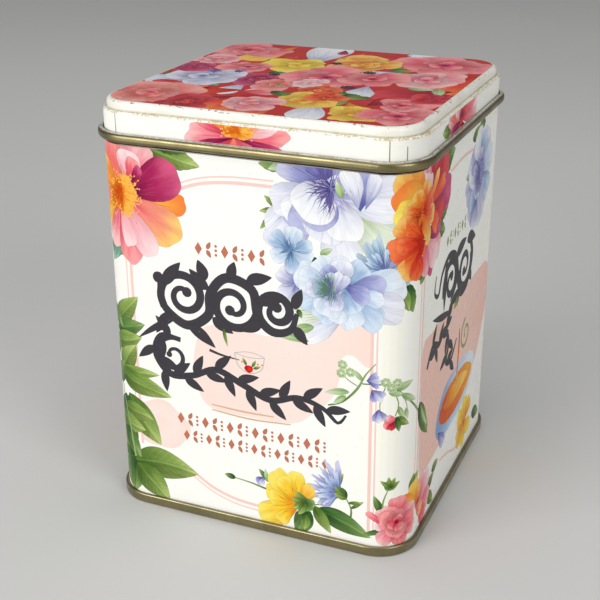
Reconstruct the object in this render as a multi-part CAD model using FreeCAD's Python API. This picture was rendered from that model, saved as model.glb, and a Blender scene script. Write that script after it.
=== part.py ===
"""Square tea caddy in printed tinplate, in millimetres.

+Z is up and the front of the tin faces -Y. The origin is on the surface that the tin stands on,
below the centre of the body. The tin is a body wrap with a lock seam down its back, a base end
double-seamed to it over a ring of sealing compound, a stepped slip lid with an open outward
curl, and a plug-shaped inner lid with a riveted knob, which keeps the tea fresh.

Each sheet-metal piece is one bent sheet, drawn as a section and carried round the rounded-square
plan. A section point is (offset, z), with the offset measured outwards from the outside of the
body wall. A section's path runs along the middle of the sheet.
"""

import math
import os

import FreeCAD
import Part

# Driving dimensions
BODY_WIDTH = 100.0
CORNER_RADIUS = 12.0
HEIGHT = 133.4
SHEET = 0.28

# Double seam at the foot
SEAM_HEIGHT = 3.4
SEAM_OUT = 1.2
SEAM_LAYER_GAP = 0.12
SEAM_BEND = 0.45
BODY_HOOK_LOW_Z = 0.50
BODY_HOOK_HIGH_Z = 2.20
COVER_HOOK_LOW_Z = 1.10
CHUCK_WALL_GAP = 0.03

# Base panel, raised inside the seam, with a shallow step round its middle
BASE_PANEL_Z = 3.80
BASE_STEP_DROP = 0.60
BASE_STEP_OUTER = -4.4
BASE_STEP_INNER = -5.4

# Neck of the body, which the lid slides over, and the hem at its mouth
NECK_INSET = 0.55
NECK_START_Z = 121.0
NECK_BEND = 0.40
MOUTH_Z = 129.96
HEM_DEPTH = 3.2
HEM_GAP = 0.08

# Side seam of the body, folded to the inside at the back
LOCK_SEAM_X = -28.0
LOCK_SEAM_WIDTH = 4.5
LOCK_SEAM_THICKNESS = 0.60
LOCK_SEAM_LOW_Z = 4.6
LOCK_SEAM_HIGH_Z = 119.8
LOCK_GROOVE_WIDTH = 0.40
LOCK_GROOVE_DEPTH = 0.12

# Outer lid
LID_CLEARANCE = 0.15
LID_STEP_INSET = 1.15
LID_SHOULDER_Z = 130.6
LID_TOP_BEND = 1.20
LID_STEP_BEND = 0.30
LID_SHOULDER_BEND = 0.45
CURL_RADIUS = 0.98
CURL_WALL_HEIGHT = 0.65
CURL_LOW_Z = 121.7
CURL_OPENING_DEG = 72.0

# Inner lid
PLUG_CLEARANCE = 0.12
PLUG_DEPTH = 9.0
PLUG_FOOT_BEND = 0.90
FLANGE_BEND = 0.40
FLANGE_LIFT = 0.04
FLANGE_EDGE = -0.70

# All flat panels are plates this far inside the wall, and bent sheet from there outwards
PLATE_INSET = 8.0

# Knob and rivet of the inner lid
KNOB_HEIGHT = 9.0
KNOB_HEAD_RADIUS = 7.5
KNOB_HEAD_THICKNESS = 3.6
KNOB_HEAD_EDGE = 1.3
KNOB_STEM_RADIUS = 3.2
KNOB_STEM_BEND = 1.2
KNOB_FOOT_RADIUS = 5.0
KNOB_FOOT_THICKNESS = 1.4
KNOB_FOOT_EDGE = 0.5
RIVET_RADIUS = 1.6
RIVET_GAP = 0.03
RIVET_LENGTH = 5.0
RIVET_HEAD_RADIUS = 3.2
RIVET_HEAD_THICKNESS = 0.9
RIVET_HEAD_EDGE = 0.5

HALF = BODY_WIDTH / 2.0
CORNER_CENTRE = HALF - CORNER_RADIUS
HALF_SHEET = SHEET / 2.0
QUARTER_TURN = math.pi / 2.0
SAME_POINT = 1e-6
WORLD_CENTRE = FreeCAD.Vector(0, 0, 0)
UP = FreeCAD.Vector(0, 0, 1)


def heading_of(start, end):
    """The direction from one section point to another, in radians."""
    return math.atan2(end[1] - start[1], end[0] - start[0])


def moved(point, heading, forward, left):
    """A point moved forward and to the left of a heading."""
    return (
        point[0] + forward * math.cos(heading) - left * math.sin(heading),
        point[1] + forward * math.sin(heading) + left * math.cos(heading),
    )


def on_circle(centre, radius, angle):
    return (centre[0] + radius * math.cos(angle), centre[1] + radius * math.sin(angle))


def in_plane(point):
    """A (radius, z) point in the XZ plane."""
    return FreeCAD.Vector(point[0], 0, point[1])


def line(start, end):
    return Part.makeLine(in_plane(start), in_plane(end))


def arc(centre, radius, first_angle, turn):
    points = [on_circle(centre, radius, first_angle + turn * share) for share in (0.0, 0.5, 1.0)]
    return Part.Arc(*[in_plane(point) for point in points]).toShape()


def bend(before, corner, after):
    """The centre, first angle and signed turn of the arc that rounds a corner (x, z, radius)."""
    heading_in = heading_of(before, corner)
    turn = (heading_of(corner, after) - heading_in + math.pi) % (2.0 * math.pi) - math.pi
    side = math.copysign(1.0, turn)
    setback = corner[2] * math.tan(abs(turn) / 2.0)
    centre = moved(corner, heading_in, -setback, side * corner[2])
    return centre, heading_in - side * QUARTER_TURN, turn


def sheet_face(path, shift):
    """One face of a bent sheet: its edges and both ends. The face lies at shift to the path's left."""
    edges = []
    start = moved(path[0], heading_of(path[0], path[1]), 0.0, shift)
    here = start
    for before, corner, after in zip(path, path[1:], path[2:]):
        centre, first_angle, turn = bend(before, corner, after)
        radius = corner[2] - math.copysign(1.0, turn) * shift
        arc_start = on_circle(centre, radius, first_angle)
        if math.dist(here, arc_start) > SAME_POINT:
            edges.append(line(here, arc_start))
        edges.append(arc(centre, radius, first_angle, turn))
        here = on_circle(centre, radius, first_angle + turn)
    end = moved(path[-1], heading_of(path[-2], path[-1]), 0.0, shift)
    if math.dist(here, end) > SAME_POINT:
        edges.append(line(here, end))
    return edges, start, end


def closed_face(edges):
    return Part.Face(Part.Wire(Part.__sortEdges__(edges)))


def bent_sheet(path):
    """The ring that a bent sheet makes round the plan. Its path is (offset, z, bend radius)."""
    from_corner_axis = [(CORNER_RADIUS + point[0],) + tuple(point[1:]) for point in path]
    left, left_start, left_end = sheet_face(from_corner_axis, HALF_SHEET)
    right, right_start, right_end = sheet_face(from_corner_axis, -HALF_SHEET)
    ends = [line(left_start, right_start), line(left_end, right_end)]
    return carried_round(closed_face(left + right + ends))


def carried_round(section):
    """The ring that a section makes round the plan. The section is drawn from a corner's axis."""
    pieces = []
    corner = section.revolve(WORLD_CENTRE, UP, 90)
    corner.translate(FreeCAD.Vector(CORNER_CENTRE, CORNER_CENTRE, 0))
    side = section.copy()
    side.translate(FreeCAD.Vector(CORNER_CENTRE, -CORNER_CENTRE, 0))
    side = side.extrude(FreeCAD.Vector(0, 2.0 * CORNER_CENTRE, 0))
    for quarter in range(4):
        for shape in (corner, side):
            piece = shape.copy()
            piece.rotate(WORLD_CENTRE, UP, 90 * quarter)
            pieces.append(piece)
    return joined(pieces)


def joined(shapes):
    return shapes[0].multiFuse(shapes[1:]).removeSplitter()


def panel_plate(middle_z):
    """The flat middle of a panel, which the bent sheet round it is joined to."""
    half = HALF - PLATE_INSET
    corner = FreeCAD.Vector(-half, -half, middle_z - HALF_SHEET)
    plate = Part.makeBox(2.0 * half, 2.0 * half, SHEET, corner)
    upright = [edge for edge in plate.Edges if abs(edge.tangentAt(edge.FirstParameter).z) > 0.5]
    return plate.makeFillet(CORNER_RADIUS - PLATE_INSET, upright)


def turned(outline):
    """A solid of revolution about Z. Its outline is (radius, z) or (radius, z, rounding radius)."""
    edges = []
    starts = []
    ends = []
    for index, corner in enumerate(outline):
        if len(corner) == 2:
            starts.append(corner)
            ends.append(corner)
            continue
        after = outline[(index + 1) % len(outline)]
        centre, first_angle, turn = bend(outline[index - 1], corner, after)
        edges.append(arc(centre, corner[2], first_angle, turn))
        starts.append(on_circle(centre, corner[2], first_angle))
        ends.append(on_circle(centre, corner[2], first_angle + turn))
    for end, start in zip(ends, starts[1:] + starts[:1]):
        if math.dist(end, start) > SAME_POINT:
            edges.append(line(end, start))
    return closed_face(edges).revolve(WORLD_CENTRE, UP, 360)


# Middle of each layer of the double seam, from the inside outwards
WALL = -HALF_SHEET
CHUCK_WALL = -SHEET - CHUCK_WALL_GAP - HALF_SHEET
COVER_HOOK = SEAM_LAYER_GAP + HALF_SHEET
BODY_HOOK = COVER_HOOK + SHEET + SEAM_LAYER_GAP
SEAM_WALL = SEAM_OUT - HALF_SHEET

# Middle of the sheet at the neck, the hem, the lid and the plug
NECK = WALL - NECK_INSET
HEM = NECK - SHEET - HEM_GAP
LID_SKIRT = NECK + SHEET + LID_CLEARANCE
PLUG = HEM - SHEET - PLUG_CLEARANCE
FLANGE_Z = MOUTH_Z + FLANGE_LIFT + HALF_SHEET
INNER_PANEL_Z = FLANGE_Z - PLUG_DEPTH
INNER_PANEL_TOP = INNER_PANEL_Z + HALF_SHEET


def body_wrap():
    """Printed body: hook in the foot seam, wall, neck and hem, with the side seam at the back."""
    hook_bend = (BODY_HOOK - WALL) / 2.0
    hem_bend = (NECK - HEM) / 2.0
    fold_z = MOUTH_Z - HALF_SHEET
    wrap = bent_sheet(
        [
            (BODY_HOOK, BODY_HOOK_HIGH_Z),
            (BODY_HOOK, BODY_HOOK_LOW_Z, hook_bend),
            (WALL, BODY_HOOK_LOW_Z, hook_bend),
            (WALL, NECK_START_Z, NECK_BEND),
            (NECK, NECK_START_Z + NECK_INSET, NECK_BEND),
            (NECK, fold_z, hem_bend),
            (HEM, fold_z, hem_bend),
            (HEM, MOUTH_Z - HEM_DEPTH),
        ]
    )
    seam_height = LOCK_SEAM_HIGH_Z - LOCK_SEAM_LOW_Z
    seam_edge = LOCK_SEAM_X + LOCK_SEAM_WIDTH / 2.0
    inside = HALF - SHEET
    fold = Part.makeBox(
        LOCK_SEAM_WIDTH,
        LOCK_SEAM_THICKNESS,
        seam_height,
        FreeCAD.Vector(seam_edge - LOCK_SEAM_WIDTH, inside - LOCK_SEAM_THICKNESS, LOCK_SEAM_LOW_Z),
    )
    groove = Part.makeBox(
        LOCK_GROOVE_WIDTH,
        2.0 * LOCK_GROOVE_DEPTH,
        seam_height,
        FreeCAD.Vector(seam_edge - LOCK_GROOVE_WIDTH, HALF - LOCK_GROOVE_DEPTH, LOCK_SEAM_LOW_Z),
    )
    return wrap.fuse(fold).cut(groove).removeSplitter()


def base_end():
    """Base end: stepped panel, chuck wall, the ring that the tin stands on, and the cover hook."""
    low = HALF_SHEET
    high = SEAM_HEIGHT - HALF_SHEET
    fold_bend = (SEAM_WALL - COVER_HOOK) / 2.0
    step_z = BASE_PANEL_Z - BASE_STEP_DROP
    rim = bent_sheet(
        [
            (-PLATE_INSET, step_z),
            (BASE_STEP_INNER, step_z, SEAM_BEND),
            (BASE_STEP_OUTER, BASE_PANEL_Z, SEAM_BEND),
            (CHUCK_WALL, BASE_PANEL_Z, SEAM_BEND),
            (CHUCK_WALL, low, SEAM_BEND),
            (SEAM_WALL, low, SEAM_BEND),
            (SEAM_WALL, high, fold_bend),
            (COVER_HOOK, high, fold_bend),
            (COVER_HOOK, COVER_HOOK_LOW_Z),
        ]
    )
    return joined([rim, panel_plate(step_z)])


def seam_compound():
    """Ring of sealing compound in the fold above the body hook."""
    clear = 0.04
    inner = CORNER_RADIUS + COVER_HOOK + HALF_SHEET + clear
    outer = CORNER_RADIUS + SEAM_WALL - HALF_SHEET - clear
    low = BODY_HOOK_HIGH_Z
    high = SEAM_HEIGHT - SHEET - (outer - inner) / 2.0
    corners = [(inner, low), (outer, low), (outer, high), (inner, high)]
    return carried_round(closed_face([line(*pair) for pair in zip(corners, corners[1:] + corners[:1])]))


def outer_lid():
    """Stepped slip lid: flat top, riser, shoulder, skirt and an open curl rolled outwards."""
    riser = LID_SKIRT - LID_STEP_INSET
    top_z = HEIGHT - HALF_SHEET
    shoulder_z = LID_SHOULDER_Z - HALF_SHEET
    low_z = CURL_LOW_Z + HALF_SHEET
    curl_out = LID_SKIRT + 2.0 * CURL_RADIUS
    # The last bend stops short of a full turn, so that the curl's cut edge stands off the skirt.
    edge_angle = math.pi - math.radians(CURL_OPENING_DEG)
    upper_centre = (LID_SKIRT + CURL_RADIUS, low_z + CURL_RADIUS + CURL_WALL_HEIGHT)
    edge = on_circle(upper_centre, CURL_RADIUS, edge_angle)
    last_corner_z = upper_centre[1] + CURL_RADIUS * math.tan(edge_angle / 2.0)
    rim = bent_sheet(
        [
            (-PLATE_INSET, top_z),
            (riser, top_z, LID_TOP_BEND),
            (riser, shoulder_z, LID_STEP_BEND),
            (LID_SKIRT, shoulder_z, LID_SHOULDER_BEND),
            (LID_SKIRT, low_z, CURL_RADIUS),
            (curl_out, low_z, CURL_RADIUS),
            (curl_out, last_corner_z, CURL_RADIUS),
            edge,
        ]
    )
    return joined([rim, panel_plate(top_z)])


def inner_lid():
    """Plug lid: a flange that rests on the mouth, a plug wall and a sunk panel with a rivet hole."""
    rim = bent_sheet(
        [
            (-PLATE_INSET, INNER_PANEL_Z),
            (PLUG, INNER_PANEL_Z, PLUG_FOOT_BEND),
            (PLUG, FLANGE_Z, FLANGE_BEND),
            (FLANGE_EDGE, FLANGE_Z),
        ]
    )
    below = FreeCAD.Vector(0, 0, INNER_PANEL_Z - SHEET)
    hole = Part.makeCylinder(RIVET_RADIUS + RIVET_GAP, 2.0 * SHEET, below)
    return joined([rim, panel_plate(INNER_PANEL_Z)]).cut(hole)


def inner_lid_knob():
    """Turned knob with a waist, and a blind bore for its rivet."""
    foot = INNER_PANEL_TOP
    foot_top = foot + KNOB_FOOT_THICKNESS
    top = foot + KNOB_HEIGHT
    head_low = top - KNOB_HEAD_THICKNESS
    bore = RIVET_RADIUS + RIVET_GAP
    bore_top = foot + RIVET_LENGTH + RIVET_GAP
    return turned(
        [
            (bore, foot),
            (KNOB_FOOT_RADIUS, foot),
            (KNOB_FOOT_RADIUS, foot_top, KNOB_FOOT_EDGE),
            (KNOB_STEM_RADIUS, foot_top, KNOB_STEM_BEND),
            (KNOB_STEM_RADIUS, head_low, KNOB_STEM_BEND),
            (KNOB_HEAD_RADIUS, head_low, KNOB_HEAD_EDGE),
            (KNOB_HEAD_RADIUS, top, KNOB_HEAD_EDGE),
            (0.0, top),
            (0.0, bore_top),
            (bore, bore_top),
        ]
    )


def knob_rivet():
    """Rivet up through the inner lid into the knob, with its head under the panel."""
    panel_low = INNER_PANEL_Z - HALF_SHEET
    head_low = panel_low - RIVET_HEAD_THICKNESS
    tip = INNER_PANEL_TOP + RIVET_LENGTH
    return turned(
        [
            (0.0, head_low),
            (RIVET_HEAD_RADIUS, head_low, RIVET_HEAD_EDGE),
            (RIVET_HEAD_RADIUS, panel_low),
            (RIVET_RADIUS, panel_low),
            (RIVET_RADIUS, tip),
            (0.0, tip),
        ]
    )


PIECES = {
    "body_wrap": body_wrap,
    "base_end": base_end,
    "seam_compound": seam_compound,
    "outer_lid": outer_lid,
    "inner_lid": inner_lid,
    "inner_lid_knob": inner_lid_knob,
    "knob_rivet": knob_rivet,
}


def main():
    os.makedirs("parts", exist_ok=True)
    for name, make in PIECES.items():
        shape = make()
        box = shape.optimalBoundingBox()
        print(
            f"{name}: {len(shape.Solids)} solid, valid {shape.isValid()}, {shape.Volume:.1f} mm3,"
            f" x to {box.XMax:.2f}, z {box.ZMin:.2f} to {box.ZMax:.2f}"
        )
        shape.exportStep(f"parts/{name}.step")


main()
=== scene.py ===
"""Looks of a square printed tea caddy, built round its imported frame.

The CAD pieces keep their shapes and get tin, gold lacquer, enamel and rubber. The printed artwork is a
thin closed film on each wall, on the lid's top and on its skirt. It is drawn in millimetres as flat
shapes laid over one another, cut together so that the top one shows, and then bent round the tin.
On the unrolled wall, s is the distance round the tin from the middle of the front, towards +X, and z
is the height. The artwork repeats after half a turn.
"""
import math
import random
from collections import namedtuple

import bpy
import numpy as np
from mathutils import Matrix, Vector
from mathutils.geometry import delaunay_2d_cdt


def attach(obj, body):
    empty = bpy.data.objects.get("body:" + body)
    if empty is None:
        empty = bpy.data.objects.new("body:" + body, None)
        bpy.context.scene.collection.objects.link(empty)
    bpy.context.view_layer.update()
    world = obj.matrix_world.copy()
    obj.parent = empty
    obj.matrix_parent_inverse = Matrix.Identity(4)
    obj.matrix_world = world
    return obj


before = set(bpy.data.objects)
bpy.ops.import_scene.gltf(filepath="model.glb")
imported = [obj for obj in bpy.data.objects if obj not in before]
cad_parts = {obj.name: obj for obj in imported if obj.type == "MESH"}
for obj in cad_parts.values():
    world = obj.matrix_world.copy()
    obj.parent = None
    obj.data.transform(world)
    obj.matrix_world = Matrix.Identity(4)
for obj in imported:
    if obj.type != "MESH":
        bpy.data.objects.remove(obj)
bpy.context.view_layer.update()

MM = 0.001
TURN = 2.0 * math.pi

# Camera, in degrees and metres
VIEW_AZIMUTH = 22.823
VIEW_ELEVATION = 23.097
VIEW_ROLL = -0.275
VIEW_DISTANCE = 0.3853
VIEW_TARGET = Vector((-0.0043, 0.0, 0.0580))
LENS_MM = 68.52
SENSOR_MM = 36.0

# Printed film, in millimetres. The slot for the side seam is given as two distances round and two heights
CORNER_RADIUS = 12.0
FILM_GAP = 0.012
FILM_THICKNESS = 0.018
CUT_TOLERANCE = 0.001
SEAM_TUCK = 0.3
CURL_TUCK = 0.05
SEAM_SLOT = (215.25, 216.05, 4.5, 119.9)
CORNER_STEPS = 24
OPEN = -1

# Drawing, in millimetres and as shares
OUTLINE = 0.16
CREASE_PITCH = 1.7
CREASE_WIDTH = 0.15
POLLEN_RADIUS = 0.27
GROUND_SIZE = (100.0, 100.0)
PETAL_BLUNTNESS = 3.2
TOOTH_DEPTH = 0.16
SPIRAL_END = 0.22
GOLDEN_SHARE = 0.618
INK_STRENGTH = 0.80


def node_points(name):
    """A CAD node's vertices at rest, in millimetres."""
    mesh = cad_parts[name].data
    points = np.empty(len(mesh.vertices) * 3, np.float32)
    mesh.vertices.foreach_get("co", points)
    return points.reshape(-1, 3).astype(float) / MM


# Sizes of the frame, in millimetres
TOUCH = 0.002
BODY = node_points("body_wrap")
LID = node_points("outer_lid")
BASE = node_points("base_end")
TOP_Z = LID[:, 2].max()
LID_MIDDLE_Z = (TOP_Z + LID[:, 2].min()) / 2.0
WALL_HALF = BODY[BODY[:, 2] > TOP_Z / 2.0, 0].max()
WALL_TOP_Z = BODY[BODY[:, 0] > WALL_HALF - TOUCH, 2].max()
SEAM_TOP_Z = BASE[BASE[:, 0] > WALL_HALF, 2].max()
UPPER_LID = LID[LID[:, 2] > LID_MIDDLE_Z]
SKIRT_HALF = UPPER_LID[:, 0].max()
SKIRT_TOP_Z = UPPER_LID[UPPER_LID[:, 0] > SKIRT_HALF - TOUCH, 2].max()
CURL_TOP_Z = LID[LID[:, 0] > SKIRT_HALF + FILM_THICKNESS, 2].max()
FLAT_TOP_HALF = LID[LID[:, 2] > TOP_Z - TOUCH, 0].max()
FLAT = WALL_HALF - CORNER_RADIUS
SIDE = 2.0 * FLAT + math.pi / 2.0 * CORNER_RADIUS
PERIOD = 2.0 * SIDE

# ---------------------------------------------------------------- inks

# An ink runs from its base through its middle to its tip, in 8-bit sRGB values. Then come how strongly
# it is streaked, veined and shaded.
Paint = namedtuple("Paint", "base middle tip streak vein shade")
Shape = namedtuple("Shape", "paint origin heading size spread bend polygons")


def flat_ink(*colour):
    return Paint(colour, colour, colour, 0.06, 0.0, 0.0)


def darker(ink, share=0.76):
    """The deeper version of an ink, for the line round a petal or a leaf."""
    tones = [tuple(share * value for value in tone) for tone in ink[:3]]
    return Paint(*tones, ink.streak, 0.0, 0.0)


IVORY = Paint((255, 255, 247), (255, 255, 249), (255, 254, 244), 0.01, 0.0, 0.0)
PEACH = Paint((253, 228, 217), (254, 232, 222), (253, 226, 214), 0.015, 0.0, 0.0)
SALMON = Paint((250, 205, 190), (252, 212, 198), (250, 203, 188), 0.02, 0.0, 0.0)
FRAME_PINK = flat_ink(250, 208, 198)
PALE_YELLOW = flat_ink(255, 253, 232)
FOOT_BROWN = flat_ink(224, 178, 140)
CHARCOAL = flat_ink(70, 68, 72)
RUST = flat_ink(196, 118, 92)
SAGE = flat_ink(150, 160, 110)

LID_RED = flat_ink(200, 54, 50)
CORAL = Paint((250, 134, 96), (246, 116, 112), (253, 172, 162), 0.30, 0.25, 0.20)
PINK = Paint((228, 84, 108), (246, 136, 148), (254, 198, 196), 0.28, 0.25, 0.20)
PALE_PINK = Paint((238, 128, 142), (251, 184, 190), (255, 224, 224), 0.22, 0.30, 0.15)
ROSE = Paint((216, 58, 86), (242, 104, 120), (253, 164, 162), 0.22, 0.15, 0.25)
MAGENTA = Paint((120, 22, 64), (174, 44, 92), (218, 94, 132), 0.30, 0.30, 0.25)
CRIMSON = Paint((134, 18, 38), (192, 40, 58), (226, 78, 86), 0.28, 0.25, 0.25)
SCARLET = Paint((202, 44, 34), (238, 78, 50), (252, 132, 82), 0.28, 0.25, 0.20)
EMBER = Paint((212, 50, 34), (247, 106, 54), (255, 206, 112), 0.26, 0.30, 0.15)
ORANGE = Paint((236, 98, 42), (252, 150, 64), (255, 212, 116), 0.26, 0.25, 0.15)
SUNSET = Paint((232, 88, 116), (249, 144, 124), (255, 208, 116), 0.26, 0.30, 0.10)
FLAME = Paint((255, 222, 104), (254, 174, 76), (251, 134, 66), 0.26, 0.30, 0.10)
YELLOW = Paint((242, 160, 36), (254, 208, 62), (255, 234, 108), 0.22, 0.25, 0.15)
GOLDEN = Paint((228, 130, 34), (249, 182, 62), (255, 216, 104), 0.24, 0.25, 0.15)
LAVENDER = Paint((92, 98, 168), (148, 151, 203), (209, 210, 236), 0.30, 0.40, 0.20)
LILAC = Paint((130, 134, 188), (192, 194, 224), (234, 235, 248), 0.24, 0.40, 0.15)
WHITE_LILAC = Paint((146, 149, 196), (210, 213, 235), (246, 247, 254), 0.16, 0.50, 0.22)
FOLD_LILAC = Paint((94, 99, 166), (146, 150, 204), (193, 196, 230), 0.20, 0.30, 0.15)
WHITE_PETAL = Paint((182, 184, 214), (234, 236, 247), (254, 254, 254), 0.12, 0.40, 0.18)
GREEN_WHITE = Paint((176, 192, 148), (228, 237, 216), (252, 254, 252), 0.14, 0.30, 0.15)
SKY = Paint((98, 134, 184), (158, 186, 219), (214, 229, 245), 0.26, 0.40, 0.15)
PALE_SKY = Paint((140, 168, 206), (199, 218, 238), (236, 244, 252), 0.20, 0.40, 0.10)
BLUE_GREY = Paint((84, 114, 148), (139, 169, 194), (195, 215, 229), 0.35, 0.40, 0.20)
VIOLET = Paint((84, 80, 154), (132, 130, 198), (184, 186, 232), 0.30, 0.30, 0.20)
LEAF = Paint((88, 117, 54), (130, 156, 80), (174, 193, 114), 0.26, 0.80, 0.30)
LEAF_DARK = Paint((56, 92, 48), (96, 132, 72), (142, 170, 102), 0.26, 0.75, 0.32)
LEAF_BLUE = Paint((78, 126, 104), (120, 160, 138), (166, 196, 174), 0.24, 0.60, 0.25)
LEAF_PALE = Paint((150, 182, 122), (186, 208, 156), (216, 230, 194), 0.20, 0.50, 0.20)
STEM = Paint((98, 130, 68), (126, 154, 88), (152, 176, 110), 0.20, 0.0, 0.0)
STAMEN_GOLD = Paint((214, 104, 26), (238, 142, 40), (250, 184, 78), 0.10, 0.0, 0.0)
STAMEN_AMBER = Paint((196, 78, 26), (224, 106, 34), (242, 142, 52), 0.10, 0.0, 0.0)
STAMEN_TIP = flat_ink(250, 192, 92)
STAMEN_PLUM = Paint((100, 92, 146), (134, 126, 178), (162, 156, 204), 0.10, 0.0, 0.0)
STAMEN_PLUM_TIP = flat_ink(62, 54, 112)
STAMEN_DARK = flat_ink(96, 44, 40)
POLLEN = Paint((208, 98, 28), (234, 138, 46), (246, 176, 76), 0.40, 0.0, 0.0)
GREEN_HEART = Paint((92, 128, 84), (130, 164, 120), (170, 196, 160), 0.35, 0.0, 0.0)
PEN_GREY = flat_ink(176, 178, 176)
BERRY = Paint((236, 60, 40), (226, 44, 40), (190, 30, 40), 0.15, 0.0, 0.30)
TEA = Paint((214, 84, 20), (240, 126, 26), (250, 176, 60), 0.30, 0.0, 0.15)
MARK_BROWN = flat_ink(150, 134, 104)

# ---------------------------------------------------------------- drawing


def steps(first, last, count):
    """Evenly spaced numbers, both ends included."""
    return [first + (last - first) * index / count for index in range(count + 1)]


def along(point, heading, distance):
    """The point that lies this far from another, in a direction given in degrees."""
    angle = math.radians(heading)
    return (point[0] + distance * math.cos(angle), point[1] + distance * math.sin(angle))


def aside(point, heading, ahead, left):
    """The point this far ahead of another in a direction given in degrees, and this far to its left."""
    return along(along(point, heading, ahead), heading + 90.0, left)


def left_of(way):
    """The unit direction to the left of another."""
    return Vector((-way.y, way.x)).normalized()


def degrees_of(way):
    return math.degrees(math.atan2(way.y, way.x))


def smooth_curve(points, spacing, closed=False):
    """Points along a Catmull-Rom curve through the given ones."""
    count = len(points)
    ends = (points[-1:] + points + points[:2]) if closed else (points[:1] + points + points[-1:])
    knots = [Vector(point) for point in ends]
    curve = []
    for index in range(1, count + 1 if closed else count):
        before, here, after, beyond = knots[index - 1:index + 3]
        spans = max(2, math.ceil((after - here).length / spacing))
        for share in steps(0.0, 1.0, spans)[:-1]:
            straight = (after - before) * share
            square = (2.0 * before - 5.0 * here + 4.0 * after - beyond) * share ** 2
            cube = (3.0 * here - before - 3.0 * after + beyond) * share ** 3
            curve.append(here + (straight + square + cube) / 2.0)
    return curve if closed else curve + [knots[-1]]


def spiral(centre, radius, start, turns):
    """Points of a spiral that winds inwards from a radius, starting at an angle in degrees."""
    count = max(8, math.ceil(abs(turns) * 14))
    return [
        along(centre, start + 360.0 * turns * share, radius * (1.0 - (1.0 - SPIRAL_END) * share))
        for share in steps(0.0, 1.0, count)
    ]


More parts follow.
